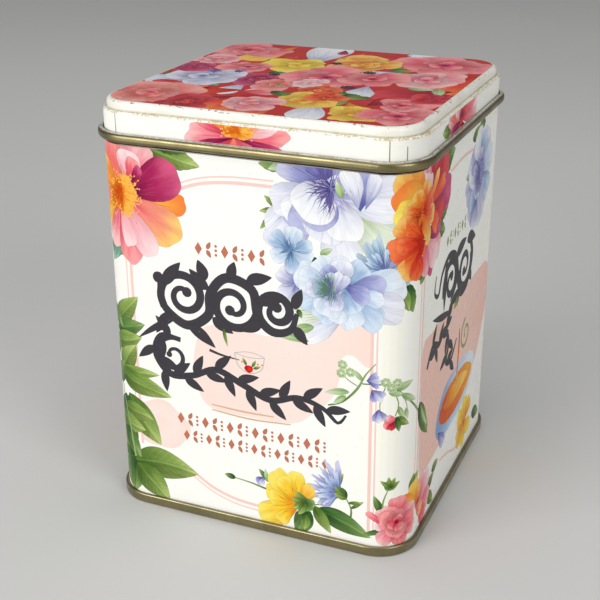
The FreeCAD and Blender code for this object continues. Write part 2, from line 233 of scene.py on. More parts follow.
class Drawing:
    """Flat shapes in millimetres, in the order in which they are laid over one another."""

    def __init__(self, seed):
        self.shapes = []
        self.random = random.Random(seed)

    def lay(self, ink, polygons, origin, heading=0.0, size=(1.0, 1.0), spread=0.0, bend=0.0):
        self.shapes.append(Shape(ink, origin, math.radians(heading), size, spread, bend, polygons))

    def lay_outlined(self, ink, outline, origin, heading, size, spread, bend):
        """An outline drawn from its own origin, over a slightly larger and deeper copy of itself."""
        turned = [aside(origin, heading, x, y) for x, y in outline]
        middle = Vector(np.mean(turned, axis=0))
        reach = max((Vector(point) - middle).length for point in turned)
        grown = [middle + (Vector(point) - middle) * (1.0 + OUTLINE / reach) for point in turned]
        self.lay(darker(ink), [grown], origin, heading, size, spread, bend)
        self.lay(ink, [turned], origin, heading, size, spread, bend)

    def petal(self, base, heading, length, spread, ink, bend=0.0, ruffle=0.05):
        """A fan from its base, this many degrees to each side of its heading."""
        half = math.radians(spread)
        phases = [self.random.uniform(0.0, TURN) for _ in range(3)]
        outline = []
        for share in steps(-1.0, 1.0, max(18, round(length * half * 2.0)))[:-1]:
            waves = [math.sin((2 + 4 * turn) * share + phase) for turn, phase in enumerate(phases)]
            wave = sum(height / (index + 1) for index, height in enumerate(waves))
            reach = length * math.sqrt(1.0 - abs(share) ** PETAL_BLUNTNESS) * (1.0 + ruffle * wave)
            x = reach * math.cos(share * half)
            y = reach * math.sin(share * half)
            outline.append((x, y + bend * x * x / length))
        self.lay_outlined(ink, outline, base, heading, (length, length), half, bend)
        for _ in range(round(length * half / CREASE_PITCH)):
            self.crease(base, heading, length, half, ink, bend)

    def crease(self, base, heading, length, half, ink, bend):
        """A fine line along a petal."""
        share = self.random.uniform(-0.72, 0.72)
        first, last = sorted((self.random.uniform(0.15, 0.5), self.random.uniform(0.5, 0.86)))
        reach = length * math.sqrt(1.0 - abs(share) ** 3)
        line = []
        for distance in steps(first * reach, last * reach, 2):
            x = distance * math.cos(share * half)
            y = distance * math.sin(share * half) + bend * x * x / length
            line.append(aside(base, heading, x, y))
        self.hair(line, CREASE_WIDTH, darker(ink, 0.78))

    def hair(self, line, width, ink):
        """A fine line through three points, widest in the middle and pointed at its ends."""
        start, middle, end = (Vector(point) for point in line)
        across = left_of(end - start) * width / 2.0
        self.lay(ink, [[start, middle - across, end, middle + across]], tuple(start))

    def leaf(self, base, heading, length, width, ink, bend=0.0, teeth=0):
        """A pointed leaf, with teeth along its edges if it has any."""
        sides = ([], [])
        for share in steps(0.0, 1.0, max(14, round(length * 0.9), teeth * 3)):
            half = width / 2.0 * math.sin(math.pi * share ** 0.8) ** 0.85 if 0.0 < share < 1.0 else 0.0
            half *= 1.0 + (TOOTH_DEPTH * ((share * teeth) % 1.0 - 0.5) if teeth else 0.0)
            middle = bend * length * share * share
            sides[0].append((length * share, middle - half))
            sides[1].append((length * share, middle + half))
        outline = sides[0] + sides[1][-2:0:-1]
        size = (length, width / 2.0)
        self.lay_outlined(ink, outline, base, heading, size, 0.0, 2.0 * bend * length / width)

    def leaves(self, *rows, **shared):
        """Leaves, one for each row of what a leaf takes. What they have in common is given by name."""
        for row in rows:
            self.leaf(*row, **shared)

    def loose_petals(self, *rows, **shared):
        """Petals with bases of their own, one for each row of what a petal takes. The rest is by name."""
        for row in rows:
            self.petal(*row, **shared)

    def petals(self, centre, *rows, ruffle=0.05):
        """Petals from one centre: heading, length, spread and ink of each."""
        for row in rows:
            self.petal(centre, *row, self.random.uniform(-0.08, 0.08), ruffle)

    def stroke(self, points, widths, ink, spacing=1.4):
        """A ribbon along a curve through the points, with its widths spread evenly along it."""
        curve = smooth_curve(points, spacing)
        places = np.linspace(0.0, 1.0, len(curve))
        halves = np.interp(places, np.linspace(0.0, 1.0, len(widths)), widths) / 2.0
        left, right = [], []
        for index, point in enumerate(curve):
            ahead = curve[min(index + 1, len(curve) - 1)] - curve[max(index - 1, 0)]
            across = left_of(ahead) * halves[index]
            left.append(point + across)
            right.append(point - across)
        quads = [
            [right[index], right[index + 1], left[index + 1], left[index]]
            for index in range(len(curve) - 1)
        ]
        way = curve[-1] - curve[0]
        self.lay(ink, quads, tuple(curve[0]), degrees_of(way), (max(way.length, 1.0), 1.0))

    def blob(self, centre, radii, ink, wobble=0.05):
        """A soft-edged round shape, whose tones run from its centre to its rim."""
        phases = [self.random.uniform(0.0, TURN) for _ in range(2)]
        outline = []
        for angle in steps(0.0, TURN, max(8, round(sum(radii) * 3.0)))[:-1]:
            reach = 1.0 + wobble * (math.sin(3 * angle + phases[0]) + math.sin(5 * angle + phases[1]))
            x = centre[0] + radii[0] * reach * math.cos(angle)
            outline.append((x, centre[1] + radii[1] * reach * math.sin(angle)))
        self.lay(ink, [outline], centre, 0.0, radii, math.pi)

    def patch(self, points, ink, spacing=2.0):
        """A smooth closed area through the points."""
        outline = smooth_curve(points, spacing, closed=True)
        low, high = np.min(outline, axis=0), np.max(outline, axis=0)
        self.lay(ink, [outline], tuple(low), 0.0, tuple(high - low))

    def stamens(self, centre, count, reach, ink, tip=None, facing=0.0, fan=360.0, width=0.34):
        """Fine curved hairs out of a flower's heart, with a dot of pollen on each if there is an ink."""
        for _ in range(count):
            heading = facing + self.random.uniform(-fan / 2.0, fan / 2.0)
            length = reach * self.random.uniform(0.4, 1.0)
            middle = along(centre, heading, length * 0.55)
            end = along(centre, heading + self.random.uniform(-20.0, 20.0), length)
            self.hair([along(centre, heading, 0.1 * length), middle, end], width, ink)
            if tip:
                self.blob(end, (POLLEN_RADIUS, POLLEN_RADIUS), tip, 0.0)

    def rose(self, centre, radius, ink, heart, rings=(1.0, 0.66, 0.38), start=0.0):
        """A full rose: rings of petals that get smaller and deeper towards the middle."""
        for ring, share in enumerate(rings):
            count = 5 - ring
            ring_ink = ink if ring % 2 == 0 else darker(ink, 0.88)
            for index in range(count):
                heading = start + 360.0 * index / count + 31.0 * ring + self.random.uniform(-24.0, 24.0)
                length = radius * share * self.random.uniform(0.84, 1.20)
                base = along(centre, heading + self.random.uniform(120.0, 240.0), length * 0.22)
                spread = self.random.uniform(38.0, 60.0)
                self.petal(base, heading, length * 1.1, spread, ring_ink, 0.0, 0.07)
        self.blob(centre, (radius * 0.15, radius * 0.15), heart)

    def sprig(self, points, ink, leaf_ink, rows):
        """A stem with leaves: each leaf's place along the stem, heading, length and width."""
        self.stroke(points, (0.75, 0.35), ink)
        curve = smooth_curve(points, 1.0)
        for share, heading, length, width in rows:
            self.leaf(tuple(curve[round(share * (len(curve) - 1))]), heading, length, width, leaf_ink)

    def vine(self, points, widths, ink, pitch, length):
        """A stem with leaves on alternate sides, this many steps of its curve apart."""
        self.stroke(points, widths, ink, 1.2)
        curve = smooth_curve(points, 1.0)
        for number, index in enumerate(range(pitch, len(curve) - 2 * pitch, pitch)):
            side = 1.0 if number % 2 else -1.0
            heading = degrees_of(curve[index + 1] - curve[index - 1]) + 58.0 * side
            self.leaf(tuple(curve[index]), heading, length, 0.40 * length, ink, -0.2 * side)

    def scroll(self, centre, radius, start, turns, width, ink):
        """A tapering spiral that ends in a round bead."""
        points = spiral(centre, radius, start, turns)
        self.stroke(points, (width, width, 0.55 * width), ink, 1.2)
        self.blob(points[-1], (0.62 * width, 0.62 * width), ink, 0.0)

    def trinkets(self, first_s, last_s, z, height, ink):
        """A row of small lozenges, leaf pairs and dots."""
        pitch = 0.62 * height
        for index in range(math.floor((last_s - first_s) / pitch) + 1):
            here = (first_s + pitch * index, z)
            if index % 3 == 0:
                points = [along(here, 90.0 * turn, height * (0.26, 0.44)[turn % 2]) for turn in range(4)]
                self.lay(ink, [points], here)
            elif index % 3 == 1:
                for side in (-1.0, 1.0):
                    base = along(here, 90.0, side * 0.06 * height)
                    self.leaf(base, side * 62.0, 0.5 * height, 0.26 * height, ink)
            else:
                for share in (-0.30, 0.0, 0.30):
                    self.blob(along(here, 90.0, share * height), (0.1 * height, 0.1 * height), ink, 0.0)


# ---------------------------------------------------------------- artwork of the body, in (s, z)


def ground(drawing):
    """Cup-shaped panel, frame lines and the faint bands beside the corner."""
    for s in (42.2, 44.4, 46.6):
        drawing.stroke([(s, 3), (s, 122)], (0.7, 0.7), PALE_YELLOW, 40)
    drawing.patch(
        [(-15, 67), (-4, 68.4), (8, 68), (20, 69.5), (31, 77.5), (38.3, 81), (38.5, 72), (38.2, 63.4),
        (33, 66.4), (29.8, 65), (29, 58), (26.4, 51), (20.5, 44.8), (14, 40.4), (0, 39.6), (-13, 40.2),
        (-17.4, 45.5), (-18.8, 54)], PEACH)
    drawing.blob((-31, 30.5), (9.5, 8.6), PEACH)
    drawing.stroke([(-13, 41.4), (-2, 41), (8, 41.3)], (0.4, 0.6, 0.4), FOOT_BROWN)
    drawing.stroke([(-13, 39.6), (0, 38.9), (13.5, 39.8)], (0.4, 0.6, 0.4), FOOT_BROWN)
    for s, width in ((-40.3, 0.5), (-38.6, 1), (38.8, 1), (40.3, 0.5)):
        low_z, high_z = (22, 92) if s < 0 else (7, 82)
        drawing.stroke([(s, low_z), (s, high_z)], (width, width), FRAME_PINK, 40)
    for lift, width in ((0, 1), (1.7, 0.5)):
        drawing.stroke(
            [(-22, 109.4 + lift), (-14, 112.2 + lift), (-4, 113.6 + lift), (9, 113.9 + lift)],
            (width, width), FRAME_PINK)
        drawing.stroke(
            [(-21, 16 - lift), (-14, 11.6 - lift), (-6, 9 - lift), (3, 8.2 - lift)], (width, width),
            FRAME_PINK)


def left_foliage(drawing):
    """Leaves down the front's left edge."""
    drawing.leaves(
        ((-49, 62), 38, 16.5, 7.4, LEAF, 0.10), ((-48.5, 60), 22, 14, 6.6, LEAF_DARK, -0.06),
        ((-49, 56), 12, 13, 7, LEAF, 0.10), ((-46, 46), 66, 13, 7.6, LEAF, -0.16),
        ((-48, 46), 12, 17, 4.6, LEAF, -0.10), ((-47, 47), -26, 20.5, 7.4, LEAF, 0.16),
        ((-50, 41), 60, 10, 6, LEAF_DARK, 0), ((-43, 39), -62, 19.5, 9.4, LEAF, 0.12),
        ((-45, 38), -96, 17, 8.6, LEAF_DARK, 0.08), ((-50, 24), 40, 12.5, 7.6, LEAF, 0.10),
        ((-47, 20), -72, 17, 8.6, LEAF_DARK, -0.10), ((-49, 12), -55, 11, 6.4, LEAF, 0),
        ((-40, 18), -70, 17, 9.6, LEAF, 0.08), ((-41, 16), -100, 13.5, 7.6, LEAF_DARK, 0),
        ((-42, 17), 148, 13, 7.8, LEAF, 0.10), ((-42, 16), 196, 12, 7.2, LEAF_DARK, 0),
        ((-42, 15), 12, 22.5, 11.2, LEAF, -0.22), ((-41, 14), -48, 16, 9.4, LEAF, 0.05),
        ((-42, 20), 112, 12, 6.8, LEAF, -0.12), ((-52, 68), -40, 10, 5.6, LEAF_DARK, 0.05),
        ((-51, 50), 80, 11, 6.6, LEAF, 0.06), ((-46, 34), -4, 12, 6.2, LEAF, -0.14),
        ((-50, 30), -20, 13, 7.4, LEAF, 0.12), ((-47, 26), -52, 12, 7, LEAF_DARK, 0))
    drawing.stroke([(-48, 64), (-46.5, 52), (-47, 40), (-44, 28), (-42, 16)], (0.5, 0.9), STEM)


def corner_bloom(drawing):
    """The large pink and amber bloom in the front's upper left corner, which runs on round the corner."""
    heart = (-40.5, 106)
    drawing.leaves(
        ((-38, 92), 196, 12, 8, LEAF_BLUE, 0.1), ((-42, 94), 242, 12, 7, LEAF_BLUE),
        ((-33, 122), -20, 19.5, 8.4, LEAF, 0.10, 9), ((-30, 124), -4, 14, 7, LEAF_DARK, -0.1, 7))
    drawing.petals(
        heart, (100, 19, 44, CORAL), (150, 14, 40, ORANGE), (205, 14.5, 36, SUNSET), (-6, 21, 17, FLAME),
        (64, 18.4, 30, PINK), (22, 21.8, 31, MAGENTA), (-128, 15, 28, GOLDEN), (-98, 17.5, 26, PINK),
        (-78, 20.8, 20, ROSE), (-32, 22.2, 28, SUNSET), (-63, 20.6, 19, PALE_PINK),
        (-84, 16, 15, PALE_PINK), ruffle=0.04)
    drawing.loose_petals(
        ((-38, 110), 76, 9.4, 46, PALE_PINK, 0.2), ((-38, 110), 58, 7.4, 34, ROSE, 0.2),
        ((-37, 110.4), 40, 5.4, 30, MAGENTA, 0.2), ruffle=0.03)
    drawing.blob(heart, (5.6, 5.6), POLLEN, 0.10)
    drawing.stamens(heart, 150, 8, STAMEN_GOLD, STAMEN_TIP, width=0.42)
    drawing.stamens(heart, 60, 4.4, STAMEN_AMBER)


def white_poppy(drawing):
    """Large white and lavender poppy in the front's upper right corner."""
    drawing.leaves(((12, 119.5), 168, 7.5, 3.6, STEM, 0.1, 4), ((13, 121), 200, 6, 2.6, LEAF_PALE, 0, 3))
    drawing.leaves(
        ((9.6, 108), 130, 4.6), ((9.8, 107), 178, 5.2), ((8.6, 105), 216, 5.4), ((10, 104), 250, 3.8),
        ((9, 110), 92, 3.2), width=1.9, ink=LEAF, bend=0.15, teeth=3)
    heart = (26, 115.5)
    drawing.petals(heart, (152, 16.5, 30, LAVENDER), (120, 14, 34, VIOLET), (62, 16, 30, WHITE_LILAC))
    drawing.petals((30, 111), (40, 19, 22, LAVENDER), (22, 18.5, 20, BLUE_GREY), (4, 19, 18, LILAC))
    drawing.leaf((36, 112), 24, 9, 2.2, LEAF_PALE, 0.1)
    drawing.loose_petals(
        ((30, 112), -44, 26, 30, GREEN_WHITE, 0.12), ((26, 110), -76, 18.5, 34, WHITE_PETAL, 0),
        ((21, 112), -122, 20, 30, LILAC, -0.1), ((19, 112), -142, 15.5, 30, WHITE_LILAC, 0.1),
        ((26, 116), -136, 18.6, 26, FOLD_LILAC, 0.1), ((25, 115), 200, 17.5, 29, WHITE_LILAC, 0),
        ((25, 115), 210, 16, 24, WHITE_PETAL, 0.1), ((25, 116), -128, 16.4, 30, FOLD_LILAC, 0.1),
        ((25, 114), 2, 22.5, 24, WHITE_LILAC, 0.08), ((25, 113), -12, 22, 18, WHITE_PETAL, 0.12),
        ((26, 116), -100, 16.8, 46, WHITE_LILAC, 0), ((27, 114), -72, 13.6, 44, WHITE_PETAL, 0),
        ((25, 117), -112, 14.2, 52, FOLD_LILAC, 0), ((25, 118), -118, 13.6, 54, WHITE_PETAL, 0),
        ruffle=0.04)
    drawing.blob((26, 115), (4.6, 3.8), LILAC, 0.14)
    drawing.stamens(heart, 150, 9.4, STAMEN_PLUM, width=0.28)
    drawing.stamens(heart, 24, 3.6, STAMEN_PLUM_TIP, width=0.24)
    drawing.loose_petals(
        ((34.5, 110), 86, 12.4, 36, FOLD_LILAC, 0.1), ((34, 110.4), 98, 11.4, 28, WHITE_PETAL, 0.18),
        ((36, 110.6), 68, 10.6, 20, WHITE_LILAC, 0.10), ruffle=0.03)
    drawing.leaf((29, 113), 96, 5, 2.4, LEAF_PALE, 0.2)


def blue_flowers(drawing):
    """Blue and pale flowers below the poppy, with the white petal that reaches to the panel."""
    drawing.loose_petals(
        ((30, 80), 204, 21, 25, GREEN_WHITE, -0.18), ((31, 79), 222, 17, 20, WHITE_PETAL, -0.1))
    drawing.leaves(
        ((19.5, 68.6), 176, 16.5, 2.6, LEAF_PALE, -0.06), ((21, 73.4), 196, 8.6, 3, LEAF_PALE, 0.1),
        ((16, 78), -62, 2.6, 1.6, LEAF_DARK), ((49, 89), -84, 9, 4.4, LEAF_DARK, 0.1, 5),
        ((46, 88), -58, 8, 4, LEAF, -0.1, 5), ((22, 94.5), -150, 5, 2.4, LEAF_DARK, 0.1),
        ((23, 96), 30, 4, 1.8, LEAF_PALE))
    cup = (15.5, 86)
    drawing.petals(
        cup, (96, 7.4, 40, WHITE_LILAC), (150, 6.4, 42, LILAC), (220, 6.4, 40, WHITE_LILAC),
        (286, 6.8, 36, LILAC))
    small = (14, 96)
    drawing.petals(
        small, (80, 7, 40, PALE_SKY), (150, 7.6, 38, SKY), (212, 6.4, 38, PALE_SKY), (276, 6.8, 36, SKY),
        (338, 7, 38, PALE_SKY), (20, 6.6, 32, SKY))
    drawing.stamens(small, 44, 4.4, BLUE_GREY, width=0.2)
    thistle = (42, 93.4)
    drawing.petals(
        thistle, *[(heading, 9.6, 17, BLUE_GREY) for heading in range(170, 530, 27)], ruffle=0.10)
    drawing.petals(thistle, *[(heading, 6.4, 16, SKY) for heading in range(12, 372, 36)], ruffle=0.10)
    drawing.stamens(thistle, 60, 6.4, STAMEN_PLUM, width=0.2)
    drawing.leaf((43, 98.4), -30, 6, 3, LEAF)
    heart = (28.5, 86.5)
    drawing.loose_petals(
        (heart, 10, 19.5, 27, PALE_SKY), (heart, -16, 19.5, 25, WHITE_LILAC),
        (heart, 166, 14, 34, PALE_SKY), (heart, 205, 13.5, 34, SKY), (heart, -36, 16, 26, SKY),
        (heart, -64, 13, 30, PALE_SKY), (heart, 240, 12.5, 32, SKY), (heart, 126, 10.4, 38, PALE_SKY),
        (heart, 80, 9.4, 42, PALE_SKY), (heart, 40, 11.6, 34, SKY), (heart, -92, 11, 34, PALE_SKY),
        ((26, 87), 176, 9.6, 46, PALE_SKY), ((29, 88), 88, 7.2, 56, WHITE_LILAC),
        ((31, 87), 8, 11.4, 34, FOLD_LILAC), ((32, 86), -8, 10, 26, PALE_SKY),
        ((27, 87), -108, 9.8, 48, PALE_SKY), ((29, 88), -58, 9.8, 40, SKY),
        ((30, 88), -24, 8.4, 34, FOLD_LILAC), ((28, 88), 130, 6, 46, FOLD_LILAC),
        ((25, 86), 186, 6.4, 50, LILAC), ((27, 87), -92, 7.4, 46, LILAC), ruffle=0.04)
    drawing.blob((25.2, 86), (4.6, 4.4), BLUE_GREY, 0.12)
    drawing.stamens((26, 86), 90, 5.8, GREEN_HEART, width=0.24)
    drawing.stamens((27, 86), 50, 6.4, STAMEN_PLUM, width=0.2)
    drawing.petals((27.6, 84.4), (78, 7.4, 20, WHITE_LILAC), (58, 7, 18, LILAC))


def edge_blooms(drawing):
    """Orange, crimson and mauve blooms that run round the front's right corner."""
    drawing.leaves(
        ((69, 103), 12, 10.5, 6.6, LEAF), ((66, 100), -22, 10, 6, LEAF_DARK),
        ((72, 115), 32, 11, 7, LEAF), ((70, 117), 8, 13, 6, LEAF_DARK), ((52, 93), -50, 6, 4, LEAF),
        ((57, 92), -132, 5.5, 3.6, LEAF_DARK), bend=0.06, teeth=6)
    mauve = (56, 101)
    drawing.petals(
        mauve, (-28, 17, 27, PINK), (-58, 15.5, 28, MAGENTA), (-44, 14.5, 30, PALE_PINK),
        (-84, 12.5, 26, PINK), (0, 14, 26, MAGENTA))
    crimson = (57, 109)
    drawing.petals(
        crimson, (62, 15, 38, CRIMSON), (110, 13.5, 38, PINK), (30, 20.5, 28, CRIMSON),
        (2, 22, 24, MAGENTA), (-24, 16, 24, CRIMSON), (14, 17, 14, SCARLET), (40, 12.5, 14, ORANGE),
        (-38, 13, 22, SCARLET), (84, 10, 28, PALE_PINK))
    drawing.loose_petals(
        ((53, 108), 82, 12.6, 30, PALE_PINK), ((53, 110), 118, 13.4, 40, ORANGE),
        ((56, 110), 152, 13, 42, FLAME), ((57, 110), 186, 13.4, 36, YELLOW),
        ((57, 109), 210, 14, 30, FLAME), ((56, 108), 232, 12.8, 28, EMBER),
        ((54, 108), 262, 12, 28, SCARLET), ((52, 108), 60, 10.5, 34, EMBER),
        ((52, 108), 24, 10.5, 32, SCARLET), ((53, 108), -12, 10, 30, EMBER),
        ((53, 109), 300, 11.5, 26, ORANGE), ((55, 109), 172, 8.4, 40, EMBER),
        ((54, 110), 128, 6.6, 44, ORANGE), ((54, 108), 206, 7.4, 36, ORANGE),
        ((55, 101), 150, 12.4, 30, EMBER), ((56, 100), 186, 13.4, 30, SCARLET),
        ((55, 99), 222, 11.8, 30, EMBER), ((53, 99), 262, 9.8, 30, SCARLET),
        ((53.4, 100), 176, 8.4, 32, SCARLET), ruffle=0.04)
    drawing.stamens((52, 108.4), 40, 4, STAMEN_AMBER, width=0.2)
    drawing.stamens((51.6, 108.4), 8, 2, STAMEN_DARK, width=0.3)


def berry_sprig(drawing):
    """Thin sprig with hops, lavender buds, a berry bud and a closed green bud round the corner."""
    for points, widths in (
        ([(25.5, 49), (30, 51), (34.5, 56), (37, 61), (40, 65)], (0.5, 0.8, 0.3)),
        ([(36, 58), (42, 58.5), (46, 57), (52, 51), (57, 45)], (0.4, 0.6, 0.9)),
        ([(45, 57), (47, 52), (46, 48)], (0.3, 0.4)), ([(43, 58), (41.5, 53), (41.6, 49)], (0.3, 0.3)),
        ([(34.6, 57), (31, 59), (30, 62)], (0.3, 0.3)), ([(46, 57), (49, 53), (50, 50)], (0.3, 0.3))
    ):
        drawing.stroke(points, widths, STEM)
    drawing.leaves(
        ((32, 54.5), 184, 7.4, 2.2), ((31, 53), 214, 5, 1.8), ((36, 59), 128, 4.4, 1.6),
        ((46, 57), 8, 6, 2.4), ((44, 56), -20, 5, 1.8), ((47, 51), -70, 5, 1.8),
        ((48, 55), -38, 6.4, 2.2), ((49.6, 50), -86, 3.6, 1.4), ink=LEAF_PALE, bend=0.12)
    for middle in ((30, 63), (32.4, 61), (29.6, 60.2), (43, 59.2), (46.4, 58.8), (44.8, 57.4)):
        for turn in range(7):
            drawing.blob(along(middle, turn * 51.4, 0.9), (0.72, 0.72), LEAF_PALE, 0.04)
    for base, heading in (((37.4, 59.2), 10), ((39, 56.6), -52), ((41, 50.4), -80)):
        drawing.petals(
            base, (heading - 26, 4, 26, VIOLET), (heading + 26, 4.2, 26, LAVENDER),
            (heading, 4.4, 20, LILAC))
    drawing.petals((46.8, 46.6), (196, 4.4, 44, ROSE), (230, 3.8, 32, CRIMSON), (160, 3.6, 30, PINK))
    drawing.leaves(
        ((46.2, 47.6), -40, 5.4, 2.6, LEAF, 0.1), ((46.4, 47.4), -72, 4.6, 2, LEAF_DARK, -0.1),
        ((56.2, 49), -66, 17.5, 6.4, LEAF_DARK, 0.16), ((56.8, 48.6), -60, 15.5, 3.8, LEAF, 0.14),
        ((57.6, 47.4), -62, 12, 1.6, LEAF_PALE, 0.14))


def foot_flowers(drawing):
    """Yellow flower, violet buds and blue cornflower above the foot."""
    drawing.sprig([(6, 15), (0, 16.2), (-5.6, 16.8)], STEM, LEAF_DARK, ((1, 172, 3.6, 1.9),))
    drawing.leaves(((6, 18), 122, 5, 2, LEAF_DARK, 0.15), ((5.4, 18.2), 98, 4.2, 1.4, LEAF_PALE))
    drawing.petals((4.2, 19.2), (220, 3.2, 40, VIOLET), (254, 3, 32, LILAC))
    drawing.stroke([(19, 12), (24, 14), (33.2, 11)], (0.3, 0.5, 0.3), STEM)
    drawing.sprig(
        [(33, 11), (33.2, 15), (31, 19)], STEM, LEAF, ((0.5, 40, 5.2, 1.2), (0.7, 12, 4.6, 1.2)))
    drawing.leaves(((28, 21), 60, 6.2, 1.6, LEAF, 0.1), ((29, 18), 196, 8.6, 1.7, LEAF_DARK, -0.10))
    cornflower = (29.6, 19.6)
    drawing.petals(
        cornflower, *[(heading, 9.4, 11, LAVENDER) for heading in range(96, 236, 17)], ruffle=0.16)
    drawing.petals(cornflower, *[(heading, 7, 10, SKY) for heading in range(104, 228, 20)], ruffle=0.16)
    drawing.petals(
        cornflower, *[(heading, 5, 10, VIOLET) for heading in range(110, 224, 26)], ruffle=0.14)
    drawing.leaves(
        ((31.8, 18.6), 144, 5, 3.4, LEAF_DARK), ((31.8, 18.4), 172, 4.2, 2.4, LEAF),
        ((22, 12), -14, 18.5, 7, LEAF_DARK, -0.08), ((21.4, 13), -64, 10, 4.2, LEAF, 0.1),
        ((20, 10.4), -128, 10, 6.6, LEAF_DARK, 0.16), ((18.6, 9), -98, 5.6, 3.2, LEAF))
    heart = (16.4, 12)
    drawing.petals(
        heart, (166, 12.4, 28, YELLOW), (214, 13, 30, GOLDEN), (202, 15, 26, YELLOW),
        (136, 13.2, 30, YELLOW), (102, 11.6, 30, YELLOW), (62, 8.6, 28, GOLDEN))
    drawing.loose_petals(
        ((15, 13), 120, 9.4, 32, YELLOW, 0.1), ((14, 12), 176, 8, 34, YELLOW, -0.12),
        ((14.4, 10.6), 226, 8.2, 30, YELLOW, 0.1))
    drawing.blob((18.4, 13), (3, 2.6), LEAF_DARK, 0.10)
    for heading in (128, 164, 206, 238):
        drawing.leaf((18.4, 13), heading, 5, 2.6, LEAF, 0.05)


def foot_peony(drawing):
    """Pink peony at the foot of the corner, and the orange and mauve petals beyond it."""
    drawing.leaves(
        ((52, 21), 34, 7, 4.4, LEAF), ((53, 20), 74, 6, 3.6, LEAF_DARK), ((69, 10), -48, 9, 4.6, LEAF),
        ((68, 12), 14, 8, 4, LEAF_DARK), ((43.5, 9), 196, 7, 1.8, LEAF_DARK),
        ((42.6, 15), 106, 6.4, 2.4, LEAF_DARK), bend=0.08)
    drawing.stroke([(44.2, 12), (43, 18), (44.6, 23.4)], (0.7, 0.4), STEM)
    drawing.blob((45.2, 24.6), (2, 1.8), LEAF_DARK, 0.08)
    for heading in (28, 62, 96, 140):
        drawing.leaf((45, 24), heading, 3.6, 1.4, LEAF)
    mauve = (59, 11)
    drawing.petals(
        mauve, (32, 13, 30, PALE_PINK), (-8, 12.5, 32, PINK), (-48, 10.5, 34, ROSE), (72, 11.5, 30, PINK),
        (108, 10, 26, MAGENTA))
    drawing.petals(
        (56, 13), (96, 10, 36, GOLDEN), (136, 9, 32, FLAME), (56, 7.5, 30, ORANGE),
        (-30, 7.5, 36, SUNSET))
    drawing.petals(
        (47.6, 10.6), (84, 9.4, 36, ROSE), (132, 8.2, 34, PINK), (38, 8.6, 34, PINK),
        (178, 7, 32, PALE_PINK), (228, 8.4, 34, PINK), (282, 8, 38, ROSE), (336, 8.2, 34, PINK))
    drawing.petal((44.4, 9.6), 128, 7.8, 15, ROSE, 0.2)
    drawing.rose((47.6, 11.4), 6.6, ROSE, CRIMSON, (1, 0.74, 0.48, 0.28), 20)


def scroll_band(drawing):
    """Bold dark band of vine scrolls, with leaves at its ends, and a lighter leafy spray below it."""
    for centre, radius, start, turns in (
        ((-21, 76.4), 8.2, 214, -1.45), ((-4.6, 75.6), 8.2, 34, -1.45), ((9.4, 76.2), 6.2, 214, -1.35)
    ):
        drawing.scroll(centre, radius, start, turns, 2.7, CHARCOAL)
    drawing.stroke(
        [(-29, 80.4), (-28, 72.4), (-20.5, 67), (-13, 71.4), (-12, 78.6), (-6.5, 84.4), (1.6, 81.8),
        (3.4, 74), (8, 69.6), (13.6, 71), (15.8, 76.6)], (1.5, 3.1, 3.1, 3.1, 3.1, 3, 1.4), CHARCOAL, 1.2)
    for base, heading, length, width, bend in (
        ((-27.4, 79), 66, 9.6, 4, -0.2), ((-25.6, 70), 222, 9, 3.6, 0.2),
        ((-20, 67), -22, 10.6, 3.8, -0.2), ((-13.6, 82.6), 104, 6.4, 3.6, 0.1),
        ((-12.6, 80), 150, 8, 3.8, -0.2), ((-11.4, 71), -44, 7.6, 3.6, 0.2),
        ((0, 84), 30, 8.2, 3.8, -0.2), ((2.6, 79), -6, 8.4, 3.2, 0.2), ((4.6, 72), 214, 8, 3.6, -0.1),
        ((15.2, 78), 84, 6.6, 3.4, -0.2), ((14.4, 72), -34, 6.4, 3.4, -0.2),
        ((-5.8, 84.4), 64, 5.6, 3.2, 0.1)
    ):
        drawing.leaf(base, heading, length, width, CHARCOAL, bend)
    drawing.blob((-29.4, 81.2), (1.9, 1.9), CHARCOAL, 0)
    drawing.leaf((-24, 68.6), 206, 16, 2.2, CHARCOAL, 0.12)
    drawing.scroll((-25.6, 55.8), 6.4, 64, 1.30, 1.7, CHARCOAL)
    drawing.vine(
        [(-22.8, 61.6), (-29.4, 62), (-31.6, 55.6), (-27, 49.4), (-19, 50.2), (-11, 53.6), (-2, 50.2),
        (7, 46.8), (16, 49.4), (24, 47.4), (28.6, 43.6), (31.2, 46.6)],
        (1.2, 2.5, 2.5, 2, 2.3, 2.3, 2, 1.6, 0.7), CHARCOAL, 4, 7.4)
    drawing.stroke([(-13, 60), (-9, 59), (-3, 58.4)], (1, 0.7, 0.2), CHARCOAL)


def front_marks(drawing):
    """Rows of small rust-coloured ornaments, and a small drawn cup with a berry."""
    drawing.trinkets(-15.4, 6, 92.4, 4.6, RUST)
    drawing.trinkets(-24, 25.6, 34.4, 4.6, RUST)
    drawing.trinkets(-22.2, 25.8, 28.6, 4.2, RUST)
    drawing.leaf((-8, 68), -84, 5.8, 1.1, LEAF, 0.1)
    drawing.stroke(
        [(-4.6, 60.6), (-3.4, 56.4), (0.4, 54.6), (4.2, 56.4), (5.2, 60.6)], (0.24, 0.24), PEN_GREY)
    drawing.stroke(
        [(-4.6, 60.6), (0.2, 61.6), (5.2, 60.6), (0.2, 59.8), (-4.6, 60.6)], (0.2, 0.2), PEN_GREY)
    drawing.blob((0, 56), (1.5, 1.3), BERRY, 0.04)
    drawing.leaves(
        ((1.2, 57), 62), ((1.6, 56.4), 22), ((-0.8, 57.2), 118), length=2.4, width=0.9, ink=LEAF)
    for s in (-2.2, 3, 4.4):
        drawing.blob((s, 58), (0.36, 0.36), ORANGE, 0)


